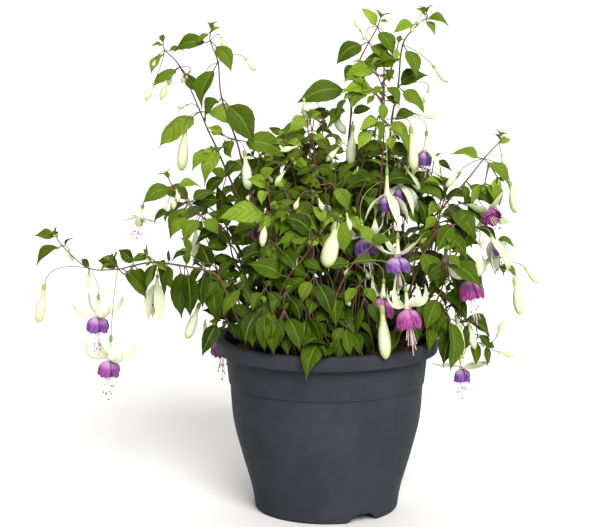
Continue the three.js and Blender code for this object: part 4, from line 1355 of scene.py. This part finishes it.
def make_soil(material, rng):
    floor = WALL + GAP
    profile = [(0, floor), (CHANNEL_INNER - 4, floor), (CHANNEL_INNER - 2, CHANNEL_HEIGHT + floor),
               (CHANNEL_OUTER + 2, CHANNEL_HEIGHT + floor)]
    profile += [(x - GAP, y) for x, y in inner_wall()]
    profile += [(radius, SOIL_TOP) for radius in np.linspace(SOIL_RADIUS, 4, SOIL_RINGS)]
    bundle = lathe(profile + [(0, SOIL_TOP + 3)], SOIL_SIDES)
    points = bundle.points[0]
    surface = points[:, 2] == SOIL_TOP
    x, y = points[surface, :2].T
    points[surface, 2] = soil_height(np.hypot(x, y), np.arctan2(y, x))
    for _ in range(CRUMBS):
        add_crumb(bundle, rng)
    settle(bundle.to_object("soil_body", [material]), "soil")


# Materials
WAXY = {"Subsurface Weight": 0.15, "Subsurface Radius": (0.004, 0.004, 0.002)}
DOWNY = {"Sheen Weight": 0.15, "Subsurface Weight": 0.1, "Subsurface Radius": (0.003, 0.002, 0.004)}
# Deep colour, light colour and colour at the base
PETAL_COLOURS = {
    "violet": ((0.045, 0.006, 0.12), (0.2, 0.052, 0.37), (0.58, 0.36, 0.62)),
    "magenta": ((0.1, 0.003, 0.075), (0.36, 0.026, 0.255), (0.52, 0.19, 0.42)),
}


class Shader:
    """A material whose nodes are made by nested calls. A socket's value is a number, a colour or
    another node's output."""

    def __init__(self, name):
        self.material = bpy.data.materials.new(name)
        self.material.use_nodes = True
        self.tree = self.material.node_tree
        self.surface = self.tree.nodes["Principled BSDF"]

    def fill(self, socket, value):
        if isinstance(value, bpy.types.NodeSocket):
            self.tree.links.new(value, socket)
        elif socket.type == "RGBA" and len(value) == 3:
            socket.default_value = (*value, 1)
        else:
            socket.default_value = value

    def node(self, kind, values, result=0, **settings):
        made = self.tree.nodes.new(f"ShaderNode{kind}")
        for setting, value in settings.items():
            setattr(made, setting, value)
        for key, value in values.items():
            self.fill(made.inputs[key], value)
        return made.outputs[result]

    def math(self, operation, *values):
        return self.node("Math", dict(enumerate(values)), operation=operation)

    def times(self, first, second):
        return self.math("MULTIPLY", first, second)

    def ridges(self, value, rate):
        return self.math("ABSOLUTE", self.math("SINE", self.times(value, rate)))

    def between(self, value, low, high, start=0.0, end=1.0):
        values = {"Value": value, "From Min": low, "From Max": high, "To Min": start, "To Max": end}
        return self.node("MapRange", values, interpolation_type="SMOOTHSTEP")

    def mix(self, share, first, second):
        return self.node("Mix", {0: share, 6: first, 7: second}, 2, data_type="RGBA")

    def coats(self, colour, *coats):
        """The colour under its coats, each with a share and a colour of its own."""
        for share, coat in coats:
            colour = self.mix(share, colour, coat)
        return colour

    def split(self, label):
        """The numbers of an attribute of the mesh."""
        vector = self.node("Attribute", {}, "Vector", attribute_name=label)
        return self.node("SeparateXYZ", {0: vector}, slice(None))

    def place(self):
        return self.node("TexCoord", {}, "Object")

    def noise(self, scale, detail=3.0, vector=None):
        values = {"Vector": vector or self.place(), "Scale": scale, "Detail": detail}
        return self.node("TexNoise", values)

    def streaks(self, across, along, offset, scale, detail):
        """Noise that is drawn out along a petal or a sepal."""
        return self.noise(scale, detail, self.node("CombineXYZ", {"X": across, "Y": along, "Z": offset}))

    def set(self, name, value):
        self.fill(self.surface.inputs[name], value)

    def finish(self, colour, roughness, height, depth, strength, more=None):
        """The material, once its surface has its colour, roughness, bumps and what more it needs."""
        self.set("Base Color", colour)
        self.set("Roughness", roughness)
        values = {"Height": height, "Distance": depth, "Strength": strength}
        self.set("Normal", self.node("Bump", values))
        for name, value in (more or {}).items():
            self.set(name, value)
        return self.material


def leaf_material(name, under):
    """Dark old leaves and light young ones, with painted shade and light, a pale midrib and forward side
    veins.
    """
    shader = Shader(name)
    across, along, _ = shader.split("form")
    draw, age, shade = shader.split("tone")
    width = shader.math("ABSOLUTE", across)
    midrib = shader.between(width, 0.03, 0.1)
    waves = shader.times(shader.math("SUBTRACT", along, shader.times(width, 0.3)), 6)
    waves = shader.math("ADD", waves, shader.times(shader.noise(45, 2), 0.9))
    side = shader.math("PINGPONG", waves, 0.5)
    ribs = shader.math("SUBTRACT", 1, shader.times(midrib, shader.between(side, 0.02, 0.12, 0.8, 1)))
    old = shader.mix(draw, (0.009, 0.024, 0.001), (0.052, 0.097, 0.002))
    # The lightest young leaves are partly their own colour and partly painted backlight and sheen.
    young = shader.mix(shade, (0.07, 0.13, 0.004), (0.235, 0.345, 0.03))
    colour = shader.coats(
        shader.mix(shader.between(age, 0.5, 1.15), old, young),
        # Painted shade on low leaves, whose age the height shift pushes below zero.
        (shader.between(age, 0, -0.5, 0, 0.75), (0.013, 0.027, 0.002)),
        (shader.between(shader.noise(90), 0.35, 0.7, 0, 0.25), (0.07, 0.11, 0.004)),
        (0.5 if under else 0, (0.09, 0.14, 0.025)),
        # Painted shade in the furrows beside the side veins.
        (shader.between(side, 0.08, 0.3, 0.25, 0), (0.008, 0.018, 0.002)),
        (shader.times(ribs, 0.62), (0.14, 0.22, 0.025)),
        (shader.between(width, 0.9, 1, 0, 0.3), (0.1, 0.12, 0.02)),
    )
    roughness = shader.between(shader.noise(240), 0.3, 0.7, 0.36, 0.5)
    puffs = shader.times(shader.math("SINE", shader.times(side, math.pi)), midrib)
    height = shader.math("ADD", puffs, shader.times(shader.noise(1400), 0.25))
    depth = -0.0008 if under else 0.0008
    return shader.finish(colour, roughness, height, depth, 0.3, {"Specular IOR Level": 0.06})


def stem_material():
    """Brown bark at the foot that turns dark red and, on young stems, greenish red."""
    shader = Shader("stem_bark")
    _, along, _ = shader.split("form")
    draw, age, shade = shader.split("tone")
    wine = shader.mix(shade, (0.075, 0.016, 0.014), (0.13, 0.045, 0.022))
    green = shader.mix(draw, (0.05, 0.07, 0.016), (0.1, 0.06, 0.022))
    colour = shader.coats(
        shader.mix(shader.noise(320), (0.08, 0.042, 0.018), (0.2, 0.12, 0.05)),
        (shader.between(along, 0.25, 0.62), wine),
        (shader.between(age, 0, 0.35, 0, 0.75), green),
    )
    return shader.finish(colour, 0.55, shader.noise(700), 0.0004, 0.6)


def bud_material():
    """A green seed pod, a pale green tube and a white bud with a green point."""
    shader = Shader("bud_white")
    around, along, _ = shader.split("form")
    draw, age, _ = shader.split("tone")
    pale = (0.5, 0.58, 0.24)
    white = shader.mix(draw, (0.6, 0.635, 0.42), (0.72, 0.735, 0.56))
    white = shader.mix(shader.between(along, 0.2, 0.42), pale, white)
    seam = shader.between(shader.ridges(around, 2 * math.pi), 0.16, 0)
    seam = shader.times(seam, shader.between(along, 0.3, 0.45))
    colour = shader.coats(
        shader.mix(shader.between(along, 0.13, 0.2), (0.2, 0.29, 0.045), white),
        (shader.between(along, 0.72, 1), (0.42, 0.5, 0.16)),
        (shader.between(age, 0.55, 1, 0, 0.45), pale),
        (shader.times(seam, 0.4), (0.36, 0.42, 0.16)),
    )
    height = shader.math("SUBTRACT", shader.noise(500), seam)
    return shader.finish(colour, 0.45, height, 0.0005, 0.5, WAXY)


def sepal_material(name, inner):
    """Creamy white with fine lengthwise veins and a pale green point."""
    shader = Shader(name)
    across, along, _ = shader.split("form")
    draw, green, shade = shader.split("tone")
    lines = shader.streaks(shader.times(across, 1.6), along, shade, 9, 2)
    colour = shader.coats(
        shader.mix(draw, (0.61, 0.625, 0.49), (0.71, 0.715, 0.6)),
        # Green is painted shade on front blooms and the own colour of faded ones.
        (green, (0.24, 0.34, 0.1)),
        (shader.between(lines, 0.42, 0.7), (0.54, 0.58, 0.4)),
        (shader.between(along, 0.7, 1), (0.42, 0.53, 0.17)),
        (0 if inner else 0.45, (0.5, 0.57, 0.33)),
    )
    return shader.finish(colour, 0.5, lines, 0.0006, 0.5, WAXY)


def tube_material():
    shader = Shader("flower_tube")
    _, along, _ = shader.split("form")
    draw, _, _ = shader.split("tone")
    white = shader.mix(draw, (0.62, 0.65, 0.48), (0.7, 0.71, 0.58))
    colour = shader.mix(shader.between(along, 0, 0.6), (0.46, 0.54, 0.2), white)
    return shader.finish(colour, 0.48, shader.noise(600), 0.0003, 0.5, WAXY)


def stalk_material():
    """Thread-like flower stalks and their seed pods."""
    shader = Shader("flower_stalk")
    draw, _, _ = shader.split("tone")
    green = shader.mix(shader.noise(160), (0.13, 0.21, 0.04), (0.24, 0.31, 0.09))
    colour = shader.mix(shader.times(draw, 0.4), green, (0.24, 0.12, 0.06))
    return shader.finish(colour, 0.5, shader.noise(900), 0.0002, 0.5)


def petal_material(colour_name, inner):
    """A pale base, from which light veins fan out into the deep colour."""
    shader = Shader(f"petal_{colour_name}_{'inner' if inner else 'outer'}")
    across, along, _ = shader.split("form")
    draw, blush, _ = shader.split("tone")
    pairs = zip(PETAL_COLOURS[colour_name], PETAL_COLOURS["magenta"])
    deep, light, base = [shader.mix(blush, *pair) for pair in pairs]
    streaks = shader.streaks(shader.times(across, 3.2), along, draw, 2.2, 4)
    fan = shader.times(shader.between(shader.ridges(across, 11), 0.3, 0), shader.between(along, 1, 0.2))
    colour = shader.coats(
        shader.mix(shader.between(streaks, 0.4, 0.57), deep, light),
        (shader.times(fan, 0.55), base),
        (shader.between(along, 0.55, 0.05), base),
        (shader.between(shader.math("ABSOLUTE", across), 0.78, 1, 0, 0.85), deep),
        (shader.between(blush, 0, -1), (0.4, 0.46, 0.2)),
    )
    return shader.finish(colour, 0.55, shader.math("ADD", streaks, fan), 0.0008, 0.6, DOWNY)


def filament_material():
    shader = Shader("stamen_thread")
    _, along, _ = shader.split("form")
    colour = shader.mix(along, (0.72, 0.4, 0.52), (0.84, 0.68, 0.7))
    return shader.finish(colour, 0.45, shader.noise(1500), 0.0001, 0.4)


def anther_material():
    shader = Shader("stamen_head")
    speckles = shader.between(shader.noise(900), 0.4, 0.62)
    colour = shader.mix(speckles, (0.16, 0.07, 0.06), (0.5, 0.38, 0.28))
    return shader.finish(colour, 0.85, shader.noise(2600), 0.0004, 0.9)


def pot_material():
    """Dark slate-grey plastic with a fine moulded grain, pale specks and a little dust."""
    shader = Shader("pot_plastic")
    clouds = shader.between(shader.noise(14, 4), 0.3, 0.7)
    colour = shader.coats(
        shader.mix(clouds, (0.029, 0.032, 0.038), (0.037, 0.041, 0.048)),
        (shader.between(shader.noise(1100, 2), 0.62, 0.75, 0, 0.25), (0.08, 0.09, 0.1)),
        (shader.between(shader.noise(38, 6), 0.55, 0.85, 0, 0.08), (0.12, 0.12, 0.11)),
    )
    roughness = shader.between(shader.noise(60, 5), 0.3, 0.7, 0.42, 0.54)
    grain = shader.node("TexVoronoi", {"Vector": shader.place(), "Scale": 620})
    height = shader.math("ADD", grain, shader.noise(1500, 2))
    return shader.finish(colour, roughness, height, 0.0005, 0.8, {"Specular IOR Level": 0.02})


def soil_material():
    shader = Shader("soil_peat")
    draw, _, shade = shader.split("tone")
    peat = shader.mix(shader.noise(180, 6), (0.012, 0.008, 0.006), (0.045, 0.028, 0.017))
    bark = shader.mix(draw, (0.03, 0.017, 0.01), (0.16, 0.09, 0.045))
    colour = shader.mix(shader.between(shade, 0.35, 0.9), peat, bark)
    return shader.finish(colour, 0.92, shader.noise(420, 8), 0.0016, 0.9)


# Stage
FLOOR_REACH = 60000
FLOOR_HEIGHT = -0.4
LAMP_COLOUR = (1.0, 0.985, 0.95)
# Strength, tilt, turn and width in degrees
LAMPS = {
    "key": (4.7, 56, 18, 34),
    "top": (1.5, 8, 200, 60),
    "back": (0.8, 48, 165, 60),
}
SKY_STRENGTH = 0.22


def make_camera():
    data = bpy.data.cameras.new("view")
    data.lens = CAMERA_LENS
    camera = bpy.data.objects.new("view", data)
    camera.location = CAMERA_PLACE
    camera.rotation_euler = (math.radians(90 - CAMERA_PITCH), 0, math.radians(CAMERA_TURN))
    bpy.context.scene.collection.objects.link(camera)
    bpy.context.scene.camera = camera


def make_floor():
    shader = Shader("floor_pale")
    shader.set("Base Color", (0.76, 0.76, 0.76))
    shader.set("Roughness", 0.95)
    bundle = Bundle()
    corners = [(x * FLOOR_REACH, y * FLOOR_REACH, FLOOR_HEIGHT)
               for x, y in ((-1, -1), (1, -1), (1, 1), (-1, 1))]
    bundle.add(corners, (([[0, 1, 2, 3]], 0),), np.zeros((4, 2)), (0, 0, 0))
    bundle.to_object("floor", [shader.material])


def make_light():
    world = bpy.data.worlds.new("studio")
    world.use_nodes = True
    background = world.node_tree.nodes["Background"]
    background.inputs["Color"].default_value = (1, 1, 1, 1)
    background.inputs["Strength"].default_value = SKY_STRENGTH
    bpy.context.scene.world = world
    for name, (strength, tilt, turn, width) in LAMPS.items():
        lamp = bpy.data.lights.new(name, "SUN")
        lamp.energy = strength
        lamp.color = LAMP_COLOUR
        lamp.angle = math.radians(width)
        light = bpy.data.objects.new(name, lamp)
        light.rotation_euler = (math.radians(tilt), 0, math.radians(turn))
        bpy.context.scene.collection.objects.link(light)
    bpy.context.scene.view_settings.view_transform = "Standard"


# Assembly
def parts_of(*plans):
    """All parts of the plans, each with the place of its node."""
    nodes = [node for plan in plans for shoot in plan.values() for node in shoot]
    return [(node.place, part) for node in nodes for part in node.parts]


def leaf_middle(place, leaf):
    return place.lerp(leaf.tip, LEAF_MIDDLE)


def make_plant(rng):
    draw = seeded_random(SEED)
    add_rear_shoots(SHOOTS, draw)
    add_low_pairs(SHOOTS, draw)
    greens = [leaf_material("leaf_top", False), leaf_material("leaf_under", True),
              stem_material(), bud_material()]
    for name, nodes in SHOOTS.items():
        make_shoot(f"leafy_{name}", nodes, greens, rng, Habit(free=False), f"shoot_{name}")
    parts = parts_of(SHOOTS, INNER_SHOOTS)
    blooms = [(place, part) for place, part in parts if part.kind in FORMS]
    make_blooms(blooms, rng)
    for name, nodes in INNER_SHOOTS.items():
        # Top twigs' leaves are lighter, partly as young leaves and partly with painted light shining
        # through them.
        youth_and_painted_light = 0.4 if name.startswith("twig_top") else 0
        make_shoot(f"inner_{name}", nodes, greens, rng, Habit(0.7, 0.1, youth_and_painted_light=youth_and_painted_light, budding=False))
    buds = [part for _, part in parts_of(SHOOTS)
            if part.kind == "bud" and (part.tip - part.top).length > FULL_LENGTH]
    leaves = [leaf_middle(place, part) for place, part in parts if part.kind == "leaf"]
    fill_bush([clear_box(part) for _, part in blooms], [clear_box(part) for part in buds], leaves, greens)


def make_blooms(blooms, rng):
    calyx = [sepal_material("sepal_inside", True), sepal_material("sepal_outside", False),
             tube_material(), stalk_material()]
    petals = {name: [petal_material(name, True), petal_material(name, False)] for name in PETAL_COLOURS}
    stamens = [filament_material(), anther_material()]
    for number, (start, part) in enumerate(blooms, 1):
        name = f"bloom_{number:02d}"
        make_calyx(name, start, part, calyx, rng)
        make_corolla(name, part, petals[FORMS[part.kind].colour] + stamens, rng)


def fill_bush(blooms, buds, leaves, materials):
    """Short shoots that end before the blooms and leave the plan's blooms, full buds and leaves in view."""
    rng = np.random.default_rng(FILL_SEED)
    for index, (turn, lean) in enumerate(fill_plan()):
        base, *others = fill_shoot(turn, lean, rng)
        nodes = [base, *takewhile(lambda node: not is_inside(node.place, blooms), others)]
        if len(nodes) < 4:
            continue
        for node in nodes:
            kept = []
            for part in node.parts:
                part.tip = clear_of_pot(part.tip)
                part.facing = Vector((part.tip.x / FILL_FACING, part.tip.y / FILL_FACING, 0.6))
                middle = leaf_middle(node.place, part)
                if not is_inside(middle, blooms + buds) and not hides_a_leaf(middle, leaves):
                    kept.append(part)
            node.parts = kept
        rows = FILL_ROWS if index < FILL_SHOOTS else SMALL_ROWS
        habit = Habit(0.4, 0.3, rows, budding=index % 9 == 4)
        make_shoot(f"bush_{index + 1:02d}", nodes, materials, rng, habit)


def main():
    make_camera()
    make_floor()
    make_light()
    rng = np.random.default_rng(SEED)
    make_pot(pot_material())
    make_soil(soil_material(), rng)
    make_plant(rng)


main()
